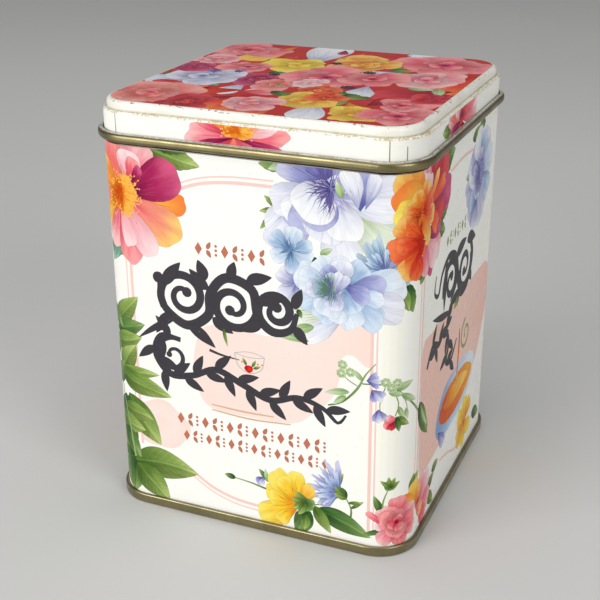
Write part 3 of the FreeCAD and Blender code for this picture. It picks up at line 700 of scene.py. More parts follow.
def side_face(drawing):
    """The face to the right of the front: panel, scrolls, cup of tea and blue bloom."""
    drawing.patch(
        [(57.6, 66), (66, 67.4), (82, 68), (100, 67.6), (120, 68), (133, 66), (134, 52), (128, 40),
        (118, 30), (100, 24), (84, 22), (66, 21), (58.4, 24), (57.4, 45)], SALMON, 4)
    drawing.stroke([(82, 15), (92, 12.6), (102, 9), (116, 8.4)], (0.9, 0.9), FRAME_PINK)
    for s, width in ((54.6, 0.5), (56.4, 1), (134.6, 1), (136.2, 0.5)):
        drawing.stroke([(s, 22), (s, 88)], (width, width), FRAME_PINK, 40)
    drawing.stroke([(79, 113.4), (92, 114.2), (104, 113.6)], (1, 1), FRAME_PINK)
    drawing.patch(
        [(77, 34), (84, 40.5), (96, 42), (112, 41), (121, 36), (119, 28), (104, 22.5), (84, 22.4),
        (76, 27)], PALE_SKY, 3)
    drawing.patch(
        [(79, 32), (86, 37.6), (98, 38.6), (110, 37.8), (118.6, 33), (113, 28), (98, 25.4), (85, 27)],
        TEA, 2)
    drawing.patch([(84, 33), (92, 36.2), (104, 36.4), (113, 33), (104, 30.6), (92, 30.4)], GOLDEN, 2)
    drawing.stroke([(99.4, 55), (99.6, 48), (99, 41), (99.2, 35)], (0.8, 1.8, 1.6, 2.4), TEA)
    drawing.petals((78.4, 27), (-36, 11, 17, VIOLET), (-50, 9.4, 20, LAVENDER))
    drawing.leaf((73, 16.4), -4, 7, 3.6, LEAF, 0.1)
    heart = (112, 14)
    drawing.petals(
        heart, (150, 11, 34, YELLOW), (205, 11, 36, GOLDEN), (96, 10, 36, YELLOW), (40, 10, 34, GOLDEN),
        (258, 9.4, 36, YELLOW), (322, 9.6, 34, YELLOW))
    drawing.blob(heart, (2.6, 2.6), POLLEN, 0.1)
    drawing.leaf((123, 12), -22, 10, 5, LEAF_DARK)
    for centre, radius, start, turns in (((85, 77), 8, 200, -1.4), ((101.4, 76), 8, 20, -1.4)):
        drawing.scroll(centre, radius, start, turns, 2.8, CHARCOAL)
    drawing.stroke(
        [(68.6, 84.6), (67.6, 79.4), (71.8, 77.4), (75, 83), (82, 86.2), (90, 83), (93.6, 75), (98, 68.4),
        (106, 69.4), (110, 77), (107, 84)], (0.8, 1.7, 2, 3.1, 3.1, 3.2, 3.2, 2.4), CHARCOAL, 1.2)
    for base, heading, length, width, bend in (
        ((80, 86), -100, 17, 4, 0.1), ((90, 83), 18, 12, 4.2, -0.1), ((93, 75), 204, 9, 3.8, 0.2),
        ((98, 69), 176, 13, 3.8, 0.1), ((86, 66.4), 172, 20, 2.6, -0.1), ((103, 84), 8, 10, 4.6, -0.3),
        ((107.6, 73), -64, 6, 3.4, 0.1), ((88.6, 70), -122, 9.4, 4, -0.2)
    ):
        drawing.leaf(base, heading, length, width, CHARCOAL, bend)
    drawing.vine(
        [(62.6, 57), (68, 62), (75, 60), (81, 62.4), (86, 55.6), (84, 50), (90, 48), (96, 53)],
        (1.6, 2.4, 2.3, 2.2, 2.4, 2.3, 1.8, 1), CHARCOAL, 4, 7.2)
    drawing.scroll((107.4, 50), 6, 100, 1.3, 1.3, SAGE)
    drawing.trinkets(79.4, 100, 91.8, 4.4, SAGE)
    drawing.leaf((96.4, 67.4), 196, 6.4, 3, LEAF)
    drawing.leaves(
        ((106, 106), 176, 8.5, 4.4), ((105, 104), 214, 7, 3.6), ((103, 117), 4, 11, 4.4),
        ((118, 119), 176, 8, 4), ink=LEAF, bend=0.1, teeth=5)
    heart = (114, 103)
    drawing.petals(
        heart, (196, 16, 32, LAVENDER), (150, 15.5, 36, SKY), (104, 16, 34, WHITE_LILAC),
        (58, 16, 34, LILAC), (10, 16, 32, PALE_SKY), (-38, 16, 32, SKY), (-84, 17, 36, LILAC),
        (234, 16.5, 32, LAVENDER))
    drawing.petals(
        (114, 107), (200, 13, 44, WHITE_LILAC), (160, 12, 44, FOLD_LILAC), (120, 11, 44, WHITE_PETAL),
        (250, 11, 44, LILAC), (60, 11, 40, SKY))
    drawing.petals((112, 95), (210, 10, 44, LAVENDER), (170, 9, 40, SKY), (260, 9.6, 44, LILAC))
    drawing.petals(heart, *[(heading, 8.4, 40, LAVENDER) for heading in range(20, 380, 72)])
    drawing.stamens(heart, 60, 6, STAMEN_PLUM, STAMEN_PLUM_TIP)


def body_artwork():
    """Everything printed on one half turn of the wall, from the front's left corner onwards."""
    drawing = Drawing(7)
    for layer in (
        ground, left_foliage, white_poppy, blue_flowers, side_face, edge_blooms, berry_sprig, scroll_band,
        front_marks, foot_flowers, foot_peony, corner_bloom
    ):
        layer(drawing)
    return drawing.shapes


# ---------------------------------------------------------------- artwork of the lid


def lid_top_artwork():
    """Roses, loose petals and leaves that cover the lid's top, in (x, y)."""
    drawing = Drawing(19)
    drawing.loose_petals(
        ((-8, 20), 96, 30, 26, WHITE_PETAL), ((20, 34), 80, 16, 34, WHITE_PETAL),
        ((-20, -2), 230, 22, 26, WHITE_PETAL), ((-16, -14), 262, 16, 26, WHITE_PETAL),
        ((20, -4), -86, 18, 30, WHITE_PETAL), ((14, -30), -84, 19, 30, WHITE_PETAL),
        ((-8, 16), -58, 17, 24, WHITE_PETAL), ((24, 18), -150, 14, 28, WHITE_PETAL),
        ((44, -22), -100, 12, 24, GREEN_WHITE), ((-30, -14), 196, 20, 34, WHITE_LILAC))
    drawing.loose_petals(
        ((46, 26), -96, 34, 17, SCARLET), ((34, -4), -46, 20, 40, CRIMSON),
        ((46, -2), 214, 24, 30, CRIMSON), ((-24, 10), 118, 17, 36, SCARLET),
        ((-30, 20), 24, 14, 30, CRIMSON), ((-44, 12), -76, 15, 34, MAGENTA),
        ((-46, 18), -60, 12, 34, CRIMSON), ((-12, -22), 206, 26, 24, SCARLET),
        ((-10, -30), 232, 24, 30, CRIMSON), ((-8, -26), 262, 24, 28, SCARLET),
        ((-22, -24), 176, 24, 22, CRIMSON), ((2, -34), -100, 16, 30, SCARLET),
        ((2, 44), -96, 18, 22, ORANGE), ((-24, 46), -104, 30, 20, GOLDEN),
        ((-18, 30), -60, 16, 24, ORANGE), ((-14, 30), -118, 16, 30, SCARLET),
        ((24, -24), 12, 24, 26, ROSE), ((28, -28), 66, 14, 30, CRIMSON), ((22, -26), -60, 22, 26, GOLDEN),
        ((26, -46), 96, 17, 30, YELLOW), ((18, 46), -110, 12, 12, CRIMSON),
        ((-6, 46), -80, 8, 24, MAGENTA), ((-46, 34), -70, 16, 26, PINK),
        ((-2, -10), -112, 17, 28, PALE_PINK), ((0, -4), 148, 17, 22, PALE_PINK),
        ((-14, -24), 8, 12, 30, ROSE), ((-46, -24), 10, 20, 22, SCARLET))
    drawing.leaves(
        ((19, 19), 12, 8, 4.4, LEAF), ((18, 21), 44, 6, 3.4, LEAF_DARK),
        ((-24, 23), -58, 7, 3.6, LEAF_BLUE), ((-24, -34), -60, 9, 5, LEAF_BLUE),
        ((-4, -20), -44, 8, 4.6, LEAF_DARK), ((4, -20), -120, 7, 4.4, LEAF),
        ((16, -16), -34, 10, 5.4, LEAF_DARK), ((26, -18), 202, 10, 4.4, LEAF),
        ((20, -22), -100, 9, 4.4, LEAF), ((-34, -14), -40, 9, 5.4, LEAF),
        ((-28, -14), -56, 8, 5, LEAF_DARK), ((-46, -6), -60, 9, 4.4, LEAF),
        ((-16, 4), -20, 8, 5, LEAF_DARK), ((32, -2), -8, 8, 4.6, LEAF_PALE),
        ((41, 0), -80, 9, 4, LEAF_PALE), ((15, -13), -80, 6, 3.4, LEAF_DARK),
        ((38, 17), -160, 8, 3, LEAF), ((40, -14), -40, 7, 3.6, LEAF_BLUE), bend=0.1, teeth=5)
    for centre, radius, ink, heart in (
        ((-38, 35), 14, ROSE, CRIMSON), ((33, 34), 16, ROSE, MAGENTA), ((-12, 17), 11.5, YELLOW, GOLDEN),
        ((9, 26), 14, ORANGE, GOLDEN), ((-41, 16), 8.5, PINK, ROSE), ((-26, 9), 9, ROSE, MAGENTA),
        ((34, 10), 12.5, PINK, ROSE), ((4, 3), 14.5, ROSE, MAGENTA), ((18, 6), 11, ROSE, CRIMSON),
        ((-15, -7), 9, MAGENTA, CRIMSON), ((-6, -12), 8, CORAL, STEM), ((-33, -9), 12.5, LILAC, LAVENDER),
        ((8, -15), 9.4, SCARLET, ORANGE), ((-37, -35), 14.5, CORAL, ROSE),
        ((-22, -42), 9.5, CRIMSON, SCARLET), ((9, -28), 11, GOLDEN, POLLEN), ((-4, -36), 9, PINK, CORAL),
        ((29, -38), 9, GOLDEN, POLLEN), ((40, -36), 12, ROSE, MAGENTA), ((37, -24), 8, ROSE, CRIMSON),
        ((14, -22), 6, SCARLET, CRIMSON), ((-43, 3), 8, MAGENTA, CRIMSON),
        ((44, -13), 7, CRIMSON, MAGENTA), ((2, -6), 5.6, PALE_PINK, PINK)
    ):
        drawing.rose(centre, radius, ink, heart, start=drawing.random.uniform(0, 60))
    for centre, radius in (
        ((-33, -1), 3), ((-25.5, 1.6), 2.4), ((15, -8), 3.4), ((14, 14), 3), ((-13, 1), 2.4),
        ((-1, 24), 2.8)
    ):
        ink = VIOLET if centre[0] < -20 else STAMEN_DARK
        drawing.blob(centre, (radius * 0.75, radius * 0.6), ink, 0.1)
        drawing.stamens(centre, 26, radius, ink, STAMEN_PLUM_TIP)
    return drawing.shapes


def skirt_artwork():
    """Blooms cut off by the shoulder and the curl of the lid's skirt, in (s, z)."""
    drawing = Drawing(23)
    for s, low_z, high_z in ((-41, 124, 131), (42.3, 124, 131), (47.2, 124, 128.4)):
        drawing.stroke([(s, low_z), (s, high_z)], (0.34, 0.26), MARK_BROWN, 9)
    drawing.petals(
        (-3, 126.6), (176, 15, 22, PINK), (152, 14.5, 22, ROSE), (200, 14, 16, MAGENTA),
        (4, 16, 17, ROSE), (24, 13.6, 22, PALE_PINK), (128, 12.5, 26, ORANGE), (60, 12, 30, GOLDEN),
        (94, 10, 32, FLAME), (-14, 15, 11, MAGENTA), (40, 10, 22, SUNSET), (236, 9, 34, ROSE),
        (308, 10, 40, PINK), (270, 6, 40, CORAL))
    drawing.blob((-1.6, 128.6), (4.6, 2.4), POLLEN, 0.1)
    drawing.stamens((-1.8, 128), 46, 6, STAMEN_GOLD, STAMEN_TIP, 90, 200)
    drawing.leaf((77, 126), 168, 8, 4.2, LEAF, 0.1, 4)
    drawing.petals(
        (88, 126.6), (172, 14, 20, PINK), (150, 13.6, 26, CORAL), (120, 11, 30, ORANGE),
        (8, 18, 18, PALE_PINK), (26, 15, 24, ROSE), (58, 11, 32, CRIMSON), (96, 9, 34, SCARLET),
        (-6, 17, 13, PINK), (192, 12.5, 16, MAGENTA), (140, 8, 30, PALE_PINK), (240, 8, 36, ROSE),
        (300, 8, 36, CRIMSON))
    drawing.blob((89, 128), (3.6, 2.4), CRIMSON, 0.1)
    return drawing.shapes


# ---------------------------------------------------------------- films


def shifted(shapes, distance):
    """The same shapes, moved round the tin."""
    move = Vector((distance, 0.0))
    return [
        shape._replace(
            origin=(shape.origin[0] + distance, shape.origin[1]),
            polygons=[[Vector(point) + move for point in polygon] for polygon in shape.polygons],
        )
        for shape in shapes
    ]


def reaches(shape, low_s, high_s):
    """Whether any of a shape lies between two distances round the tin."""
    places = [point[0] for polygon in shape.polygons for point in polygon]
    return max(places) > low_s and min(places) < high_s


def inside(polygon, places):
    """Which places lie inside a polygon."""
    ahead = np.roll(polygon, -1, axis=0)
    x, y = places[:, :1], places[:, 1:]
    crossed = (polygon[:, 1] > y) != (ahead[:, 1] > y)
    rise = ahead[:, 1] - polygon[:, 1]
    slope = (ahead[:, 0] - polygon[:, 0]) / np.where(rise == 0.0, 1.0, rise)
    return (crossed & (x < polygon[:, 0] + (y - polygon[:, 1]) * slope)).sum(axis=1) % 2 == 1


def cut_together(shapes, folds, hole):
    """Points, triangles and each triangle's shape. The first shape is the ground; the last one wins."""
    outlines = [(index, outline) for index, shape in enumerate(shapes) for outline in shape.polygons]
    if hole:
        outlines.append((OPEN, hole))
    points, faces = [], []
    for _, outline in outlines:
        faces.append(list(range(len(points), len(points) + len(outline))))
        points.extend(Vector(point) for point in outline)
    edges = [(len(points) + 2 * index, len(points) + 2 * index + 1) for index in range(len(folds))]
    points.extend(Vector(point) for fold in folds for point in fold)
    points, _, triangles, *_ = delaunay_2d_cdt(points, edges, faces, 1, CUT_TOLERANCE)
    points, triangles = np.array(points), np.array(triangles)

    centres = points[triangles].mean(axis=1)
    triangles = triangles[np.argsort(centres[:, 0])]
    centres = points[triangles].mean(axis=1)
    shown = np.full(len(triangles), OPEN)
    for index, outline in outlines:
        outline = np.array(outline)
        low, high = outline.min(axis=0), outline.max(axis=0)
        first, last = np.searchsorted(centres[:, 0], (low[0], high[0]))
        level = (centres[first:last, 1] > low[1]) & (centres[first:last, 1] < high[1])
        near = first + np.flatnonzero(level)
        if index:
            near = near[shown[near] != OPEN]
        shown[near[inside(outline, centres[near])]] = index
    return points, triangles[shown != OPEN], shown[shown != OPEN]


def linear(colour):
    """An 8-bit sRGB colour as linear light, at the strength of printing ink."""
    return [INK_STRENGTH * (value / 255.0) ** 2.2 for value in colour] + [1.0]


def corner_values(shapes, points, triangles, shown):
    """What the print material reads at each corner of each triangle."""
    origin = np.array([shape.origin for shape in shapes])[shown][:, None, :]
    heading = np.array([shape.heading for shape in shapes])[shown][:, None]
    size = np.array([shape.size for shape in shapes])[shown][:, None, :]
    away = points[triangles] - origin
    forward = away[..., 0] * np.cos(heading) + away[..., 1] * np.sin(heading)
    sideways = away[..., 1] * np.cos(heading) - away[..., 0] * np.sin(heading)
    number = np.repeat((shown * GOLDEN_SHARE)[:, None], 3, axis=1)
    rows = {"place": np.stack([forward / size[..., 0], sideways / size[..., 1], number], axis=2)}
    for name, values in (
        ("form", [(shape.spread, shape.bend, 0.0) for shape in shapes]),
        ("strokes", [(shape.paint.streak, shape.paint.vein, shape.paint.shade) for shape in shapes]),
        ("tone_base", [linear(shape.paint.base) for shape in shapes]),
        ("tone_middle", [linear(shape.paint.middle) for shape in shapes]),
        ("tone_tip", [linear(shape.paint.tip) for shape in shapes]),
    ):
        rows[name] = np.repeat(np.array(values)[shown][:, None, :], 3, axis=1)
    return rows


def plain_back(points, rim_sides, folds):
    """Triangles of the same area that use only the points on its rim."""
    rim = sorted({index for side in rim_sides for index in side})
    place = {index: number for number, index in enumerate(rim)}
    count = len(rim)
    edges = [(place[a], place[b]) for a, b in rim_sides]
    edges += [(count + 2 * index, count + 2 * index + 1) for index in range(len(folds))]
    corners = [Vector(points[index]) for index in rim] + [Vector(point) for fold in folds for point in fold]
    found, _, triangles, sources, *_ = delaunay_2d_cdt(corners, edges, [], 1, CUT_TOLERANCE)
    original = [min(source) for source in sources]
    starts = np.array([[points[a], points[b]] for a, b in rim_sides])
    flat, ways = np.array(found), starts[:, 1] - starts[:, 0]
    kept = []
    for triangle in triangles:
        x, y = flat[triangle].mean(axis=0)
        low, high = starts[:, 0, 1], starts[:, 1, 1]
        crossed = (low > y) != (high > y)
        at = starts[:, 0, 0] + (y - low) * ways[:, 0] / np.where(ways[:, 1] == 0.0, 1.0, ways[:, 1])
        if (crossed & (x < at)).sum() % 2:
            kept.append([rim[original[corner]] for corner in triangle])
    return kept


def rim_of(triangles):
    """The sides that belong to one triangle only."""
    sides = {(a, b) for corners in triangles.tolist() for a, b in zip(corners, corners[1:] + corners[:1])}
    return [(a, b) for a, b in sorted(sides) if (b, a) not in sides]


def print_attributes(mesh, values, plain_corners):
    """Writes what the print material reads. The film's back and rim repeat the first corner's values."""
    for name, rows in values.items():
        kind, field = ("FLOAT_COLOR", "color") if name.startswith("tone") else ("FLOAT_VECTOR", "vector")
        printed = rows.reshape(-1, rows.shape[2])
        plain = np.zeros((plain_corners, rows.shape[2])) + printed[0]
        attribute = mesh.attributes.new(name, kind, "CORNER")
        attribute.data.foreach_set(field, np.concatenate([printed, plain]).astype(np.float32).ravel())


def film(name, body, shapes, surface, folds=(), hole=None):
    """A closed film with the shapes printed on it. The surface gives its points and their directions."""
    points, triangles, shown = cut_together(shapes, folds, hole)
    used, triangles = np.unique(triangles, return_inverse=True)
    points, triangles = points[used], triangles.reshape(-1, 3)
    rim_sides = rim_of(triangles)
    rim_points = sorted({index for side in rim_sides for index in side})
    behind = {index: len(points) + number for number, index in enumerate(rim_points)}
    back = plain_back(points, rim_sides, folds)
    back = [[behind[corner] for corner in corners[::-1]] for corners in back]
    rim = [(b, a, behind[a], behind[b]) for a, b in rim_sides]
    outer, directions = surface(points, FILM_GAP + FILM_THICKNESS)
    inner, inner_directions = surface(points[rim_points], FILM_GAP)
    mesh = bpy.data.meshes.new(name)
    mesh.from_pydata((np.concatenate([outer, inner]) * MM).tolist(), [], triangles.tolist() + back + rim)
    print_attributes(mesh, corner_values(shapes, points, triangles, shown), 3 * len(back) + 4 * len(rim))
    mesh.shade_smooth()
    mesh.normals_split_custom_set_from_vertices(np.concatenate([directions, -inner_directions]).tolist())
    mesh.materials.append(PRINT)
    piece = placed(name, mesh)
    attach(piece, body)


def placed(name, data):
    """A new object in the scene."""
    piece = bpy.data.objects.new(name, data)
    bpy.context.scene.collection.objects.link(piece)
    return piece


def on_wall(points, out):
    """Places and outward directions of (s, z) points on the tin's wall, a distance out of it."""
    quarter, place = np.divmod(points[:, 0] + FLAT, SIDE)
    turn = np.clip((place - 2.0 * FLAT) / CORNER_RADIUS, 0.0, None)
    x = np.minimum(place, 2.0 * FLAT) - FLAT + (CORNER_RADIUS + out) * np.sin(turn)
    y = -FLAT - (CORNER_RADIUS + out) * np.cos(turn)
    angle = quarter * math.pi / 2.0
    places = [x * np.cos(angle) - y * np.sin(angle), x * np.sin(angle) + y * np.cos(angle), points[:, 1]]
    directions = [np.sin(turn + angle), -np.cos(turn + angle), np.zeros(len(points))]
    return np.stack(places, axis=1), np.stack(directions, axis=1)


def on_skirt(points, out):
    return on_wall(points, out + SKIRT_HALF - WALL_HALF)


def on_lid_top(points, out):
    up = np.zeros((len(points), 3)) + (0.0, 0.0, 1.0)
    return np.column_stack([points, np.full(len(points), TOP_Z + out)]), up


def ground_of(ink, outline):
    return Shape(ink, tuple(outline[0]), 0.0, GROUND_SIZE, 0.0, 0.0, [outline])


def strip(first_s, last_s, low_z, high_z):
    return [(first_s, low_z), (last_s, low_z), (last_s, high_z), (first_s, high_z)]


def corner_folds(first_s, last_s, low_z, high_z):
    """Upright lines along which a film bends round the corners within it."""
    folds = []
    arc = SIDE - 2.0 * FLAT
    for quarter in range(-1, 4):
        for s in steps(FLAT + SIDE * quarter, FLAT + SIDE * quarter + arc, CORNER_STEPS):
            if first_s < s < last_s:
                folds.append(((s, low_z), (s, high_z)))
    return folds


def wall_films(prefix, body, artwork, low_z, high_z, surface, hole=None):
    """Four films, one for each face, which meet in the middle of the corners. The back has the hole."""
    for index, face in enumerate(("front", "right", "back", "left")):
        first_s, last_s = SIDE * (index - 0.5), SIDE * (index + 0.5)
        shapes = [ground_of(IVORY, strip(first_s, last_s, low_z, high_z))]
        for turn in (-1, 0, 1, 2):
            there = shifted(artwork, turn * PERIOD)
            shapes += [shape for shape in there if reaches(shape, first_s, last_s)]
        folds = corner_folds(first_s, last_s, low_z, high_z)
        film(prefix + face, body, shapes, surface, folds, hole if face == "back" else None)


def lid_top_film():
    """The printed film on the lid's flat top."""
    radius = CORNER_RADIUS + FLAT_TOP_HALF - WALL_HALF
    straight = FLAT_TOP_HALF - radius
    corners = [(straight, -straight), (straight, straight), (-straight, straight), (-straight, -straight)]
    outline = [
        along(corner, 90.0 * (index - 1) + 90.0 * share, radius)
        for index, corner in enumerate(corners) for share in steps(0.0, 1.0, CORNER_STEPS)
    ]
    shapes = [ground_of(LID_RED, outline)] + lid_top_artwork()
    film("lid_top_print", "slip_lid", shapes, on_lid_top)


# ---------------------------------------------------------------- finishes


class Value:
    """An output of a shader node. Arithmetic on it adds more nodes."""

    def __init__(self, finish, socket):
        self.finish = finish
        self.socket = socket

    def __add__(self, other):
        return self.finish.calc("ADD", self, other)

    def __radd__(self, other):
        return self.finish.calc("ADD", other, self)

    def __sub__(self, other):
        return self.finish.calc("SUBTRACT", self, other)

    def __rsub__(self, other):
        return self.finish.calc("SUBTRACT", other, self)

    def __mul__(self, other):
        return self.finish.calc("MULTIPLY", self, other)

    def __truediv__(self, other):
        return self.finish.calc("DIVIDE", self, other)

    def __abs__(self):
        return self.finish.calc("ABSOLUTE", self)


class Finish:
    """A material written as expressions: each method adds a node and gives its output."""

    def __init__(self, name):
        self.material = bpy.data.materials.new(name)
        self.material.use_nodes = True
        self.tree = self.material.node_tree
        self.tree.nodes.clear()
        self.here = self.value("TexCoord", output="Object")

    def node(self, kind, inputs=None, **settings):
        node = self.tree.nodes.new("ShaderNode" + kind)
        for key, value in settings.items():
            setattr(node, key, value)
        for key, value in (inputs or {}).items():
            if isinstance(value, Value):
                self.tree.links.new(value.socket, node.inputs[key])
            else:
                node.inputs[key].default_value = value
        return node

    def value(self, kind, inputs=None, output=0, **settings):
        return Value(self, self.node(kind, inputs, **settings).outputs[output])

    def calc(self, operation, *values):
        return self.value("Math", dict(enumerate(values)), operation=operation)

    def above(self, value, limit):
        """1 where a value is greater than a limit, and 0 elsewhere."""
        return self.calc("GREATER_THAN", value, limit)

    def below(self, value, limit):
        """1 where a value is less than a limit, and 0 elsewhere."""
        return self.calc("LESS_THAN", value, limit)

    def larger(self, first, second):
        return self.calc("MAXIMUM", first, second)

    def length(self, x, y):
        inputs = {0: self.joined(x, y, 0.0)}
        return self.value("VectorMath", inputs, "Value", operation="LENGTH")

    def parts(self, vector):
        return [Value(self, part) for part in self.node("SeparateXYZ", {0: vector}).outputs]

    def joined(self, *values):
        return self.value("CombineXYZ", dict(enumerate(values)))

    def read(self, name, output="Vector"):
        return self.value("Attribute", output=output, attribute_name=name)

    def rise(self, value, low, high, to_low=0.0, to_high=1.0):
        """A smooth step from one value to another."""
        inputs = {"Value": value, "From Min": low, "From Max": high, "To Min": to_low, "To Max": to_high}
        return self.value("MapRange", inputs, interpolation_type="SMOOTHSTEP")

    def band(self, value, start, full, fade, end):
        """1 between two values, with a smooth step on each side."""
        return self.rise(value, start, full) * self.rise(value, end, fade)

    def mixed(self, share, first, second):
        """Two colours, mixed."""
        inputs = {0: share, 6: opaque(first), 7: opaque(second)}
        return self.value("Mix", inputs, 2, data_type="RGBA")

    def blended(self, share, first, second):
        """Two numbers, mixed."""
        return self.value("Mix", {0: share, 2: first, 3: second})

    def scaled(self, colour, factor):
        """A colour, made brighter or darker."""
        return self.value("VectorMath", {0: colour, "Scale": factor}, operation="SCALE")

    def stretched(self, vector, factors):
        return self.value("VectorMath", {0: vector, 1: factors}, operation="MULTIPLY")

    def grain(self, place, scale, detail):
        return self.value("TexNoise", {"Vector": place, "Scale": scale, "Detail": detail})

    def noise(self, millimetres, detail=3.0, stretch=None):
        """Noise with features of this size, along the object's own axes."""
        place = self.stretched(self.here, stretch) if stretch else self.here
        return self.grain(place, 1.0 / (millimetres * MM), detail)

    def bumped(self, height, depth_mm, under=None):
        """A normal with a relief of this depth, laid over another normal if there is one."""
        inputs = {"Height": height, "Distance": depth_mm * MM, "Strength": 1.0}
        if under is not None:
            inputs["Normal"] = under
        return self.value("Bump", inputs)

    def shaded(self, colour, roughness, metallic=0.0, normal=None, **constants):
        """Ends the material with a shader. The constants are set on its own sockets."""
        inputs = {"Base Color": opaque(colour), "Roughness": roughness, "Metallic": metallic}
        if normal is not None:
            inputs["Normal"] = normal
        inputs.update({key.replace("_", " "): value for key, value in constants.items()})
        self.node("OutputMaterial", {"Surface": self.value("BsdfPrincipled", inputs)})
        return self.material


def opaque(colour):
    """A colour with its alpha, if it is a plain tuple."""
    return (*colour, 1.0) if isinstance(colour, tuple) else colour


def below_top(*drops):
    """Heights, from how far each is below the lid's top."""
    return [TOP_Z - drop for drop in drops]


ENAMEL = (0.78, 0.765, 0.70)
ENAMEL_AGED = (0.70, 0.685, 0.60)
ENAMEL_WORN = (0.50, 0.38, 0.17)
ENAMEL_NICK = (0.20, 0.13, 0.09)
STEP_OCHRE = (0.33, 0.30, 0.17)
CREAM = (0.74, 0.70, 0.60)
CREAM_AGED = (0.66, 0.61, 0.49)
CREAM_SPECK = (0.16, 0.12, 0.08)
PRINT_SPECK = (0.30, 0.27, 0.22)
TIN = (0.56, 0.56, 0.54)
TIN_ROLLED = (0.66, 0.66, 0.64)
TIN_TURNED = (0.40, 0.40, 0.385)
CURL_BARE = (0.60, 0.59, 0.54)
CURL_DIRTY = (0.30, 0.27, 0.19)
# GOLD and GOLD_DEEP are about half as bright as the inner gold: painted shade for the dark surroundings
# that the outer gold reflects
GOLD = (0.27, 0.23, 0.115)
GOLD_DEEP = (0.205, 0.175, 0.085)
INNER_GOLD = (0.54, 0.46, 0.23)
INNER_GOLD_DEEP = (0.46, 0.385, 0.18)
# Near-black, for dirt specks on the gold and for the painted shade under the lid's curl
GRIME_AND_SHADE = (0.045, 0.035, 0.022)
COMPOUND = (0.24, 0.25, 0.235)
COMPOUND_DARK = (0.17, 0.18, 0.165)

# Half the thickness of the sheet, in millimetres
HALF_SHEET = 0.14


def print_finish():
    """Ink on varnished tinplate. Petals are shaded round their base, and leaves along their midrib."""
    f = Finish("printed_tinplate")
    forward, sideways, number = f.parts(f.read("place"))
    spread, bend, _ = f.parts(f.read("form"))
    streak, vein, shade = f.parts(f.read("strokes"))
    is_petal = f.above(spread, 0.001)
    is_leaf = 1.0 - is_petal
    straight = sideways - bend * (forward * forward)
    fan = f.calc("ARCTAN2", straight, forward) / f.larger(spread, 0.01)
    side = is_petal * fan + is_leaf * straight
    distance = is_petal * f.length(forward, straight) + is_leaf * forward
    edge = abs(side)

    place = f.joined(side, distance, number)
    wash = f.grain(f.stretched(place, (3.0, 2.2, 1.0)), 1.0, 3.0)
    fibres = f.grain(f.stretched(place, (21.0, 1.6, 1.0)), 1.0, 2.0)
    depth = distance + (wash - 0.5) * 0.55
    base, middle, tip = (f.read(name, "Color") for name in ("tone_base", "tone_middle", "tone_tip"))
    colour = f.mixed(f.rise(depth, 0.55, 1.02), f.mixed(f.rise(depth, 0.12, 0.58), base, middle), tip)
    streaks = streak * (fibres + wash - 1.0)
    ribs = f.rise(f.calc("PINGPONG", distance * 9.0 - edge * 2.4, 0.5), 0.38, 0.5)
    ribbed = f.larger(ribs * 0.55, f.rise(edge, 0.10, 0.02))
    petal_lines = f.rise(fibres, 0.53, 0.64) * is_petal * -0.34
    leaf_lines = ribbed * is_leaf * 0.48
    lines = vein * (petal_lines + leaf_lines)
    dark = shade * (is_petal * f.rise(edge, 0.35, 1.0) + is_leaf * f.rise(side, 0.06, -0.10))
    grain = (f.noise(0.16, 1.0) - 0.5) * 0.05
    colour = f.scaled(colour, 1.0 + streaks + lines + grain - dark)

    specks = f.rise(f.noise(0.75, 2.0), 0.735, 0.76) * f.rise(f.noise(14.0, 4.0), 0.40, 0.72)
    colour = f.mixed(specks * 0.75, colour, PRINT_SPECK)
    roughness = f.rise(f.noise(9.0, 4.0), 0.3, 0.7, 0.22, 0.34) + specks * 0.3
    normal = f.bumped(specks, -0.004, f.bumped(f.noise(11.0, 1.0), 0.03))
    return f.shaded(colour, roughness, 0.0, normal, IOR=1.25, Specular_IOR_Level=0.12)


def gold_layer(f, light=GOLD, deep=GOLD_DEEP):
    """Colour, roughness and height of gold-lacquered tinplate with fine scratches."""
    drawn = f.noise(0.35, 3.0, (1.0, 1.0, 9.0))
    cloud = f.noise(7.0, 4.0)
    colour = f.mixed(f.rise(cloud, 0.35, 0.68), light, deep)
    colour = f.mixed(f.rise(drawn, 0.55, 0.75) * 0.35, colour, TIN)
    specks = f.rise(f.noise(0.6, 3.0), 0.68, 0.72)
    colour = f.mixed(specks * 0.65, colour, GRIME_AND_SHADE)
    return colour, f.rise(cloud, 0.3, 0.7, 0.27, 0.40) + specks * 0.3, drawn


def gold_finish(name, light, deep):
    f = Finish(name)
    colour, roughness, drawn = gold_layer(f, light, deep)
    normal = f.bumped(drawn, 0.002, f.bumped(f.noise(5.0, 2.0), 0.02))
    return f.shaded(colour, roughness, 1.0, normal, Coat_Weight=0.3, Coat_Roughness=0.15)


def outward(f):
    """How much the surface faces out of the tin and up, its distance out of the body's wall, its height."""
    x, y, z = f.parts(f.here)
    beyond_x = abs(x) - FLAT * MM
    beyond_y = abs(y) - FLAT * MM
    in_corner = f.above(beyond_x, 0.0) * f.above(beyond_y, 0.0)
    length = f.length(beyond_x, beyond_y)
    divisor = f.larger(length, 1e-6)
    on_x_side = f.above(beyond_x, beyond_y)
    away_x = f.blended(in_corner, on_x_side, beyond_x / divisor)
    away_y = f.blended(in_corner, 1.0 - on_x_side, beyond_y / divisor)
    facing_x, facing_y, up = f.parts(f.value("NewGeometry", output="Normal"))
    push = facing_x * f.calc("SIGN", x) * away_x + facing_y * f.calc("SIGN", y) * away_y
    reach = f.blended(in_corner, f.larger(beyond_x, beyond_y), length)
    return push, up, reach / MM - CORNER_RADIUS, z / MM


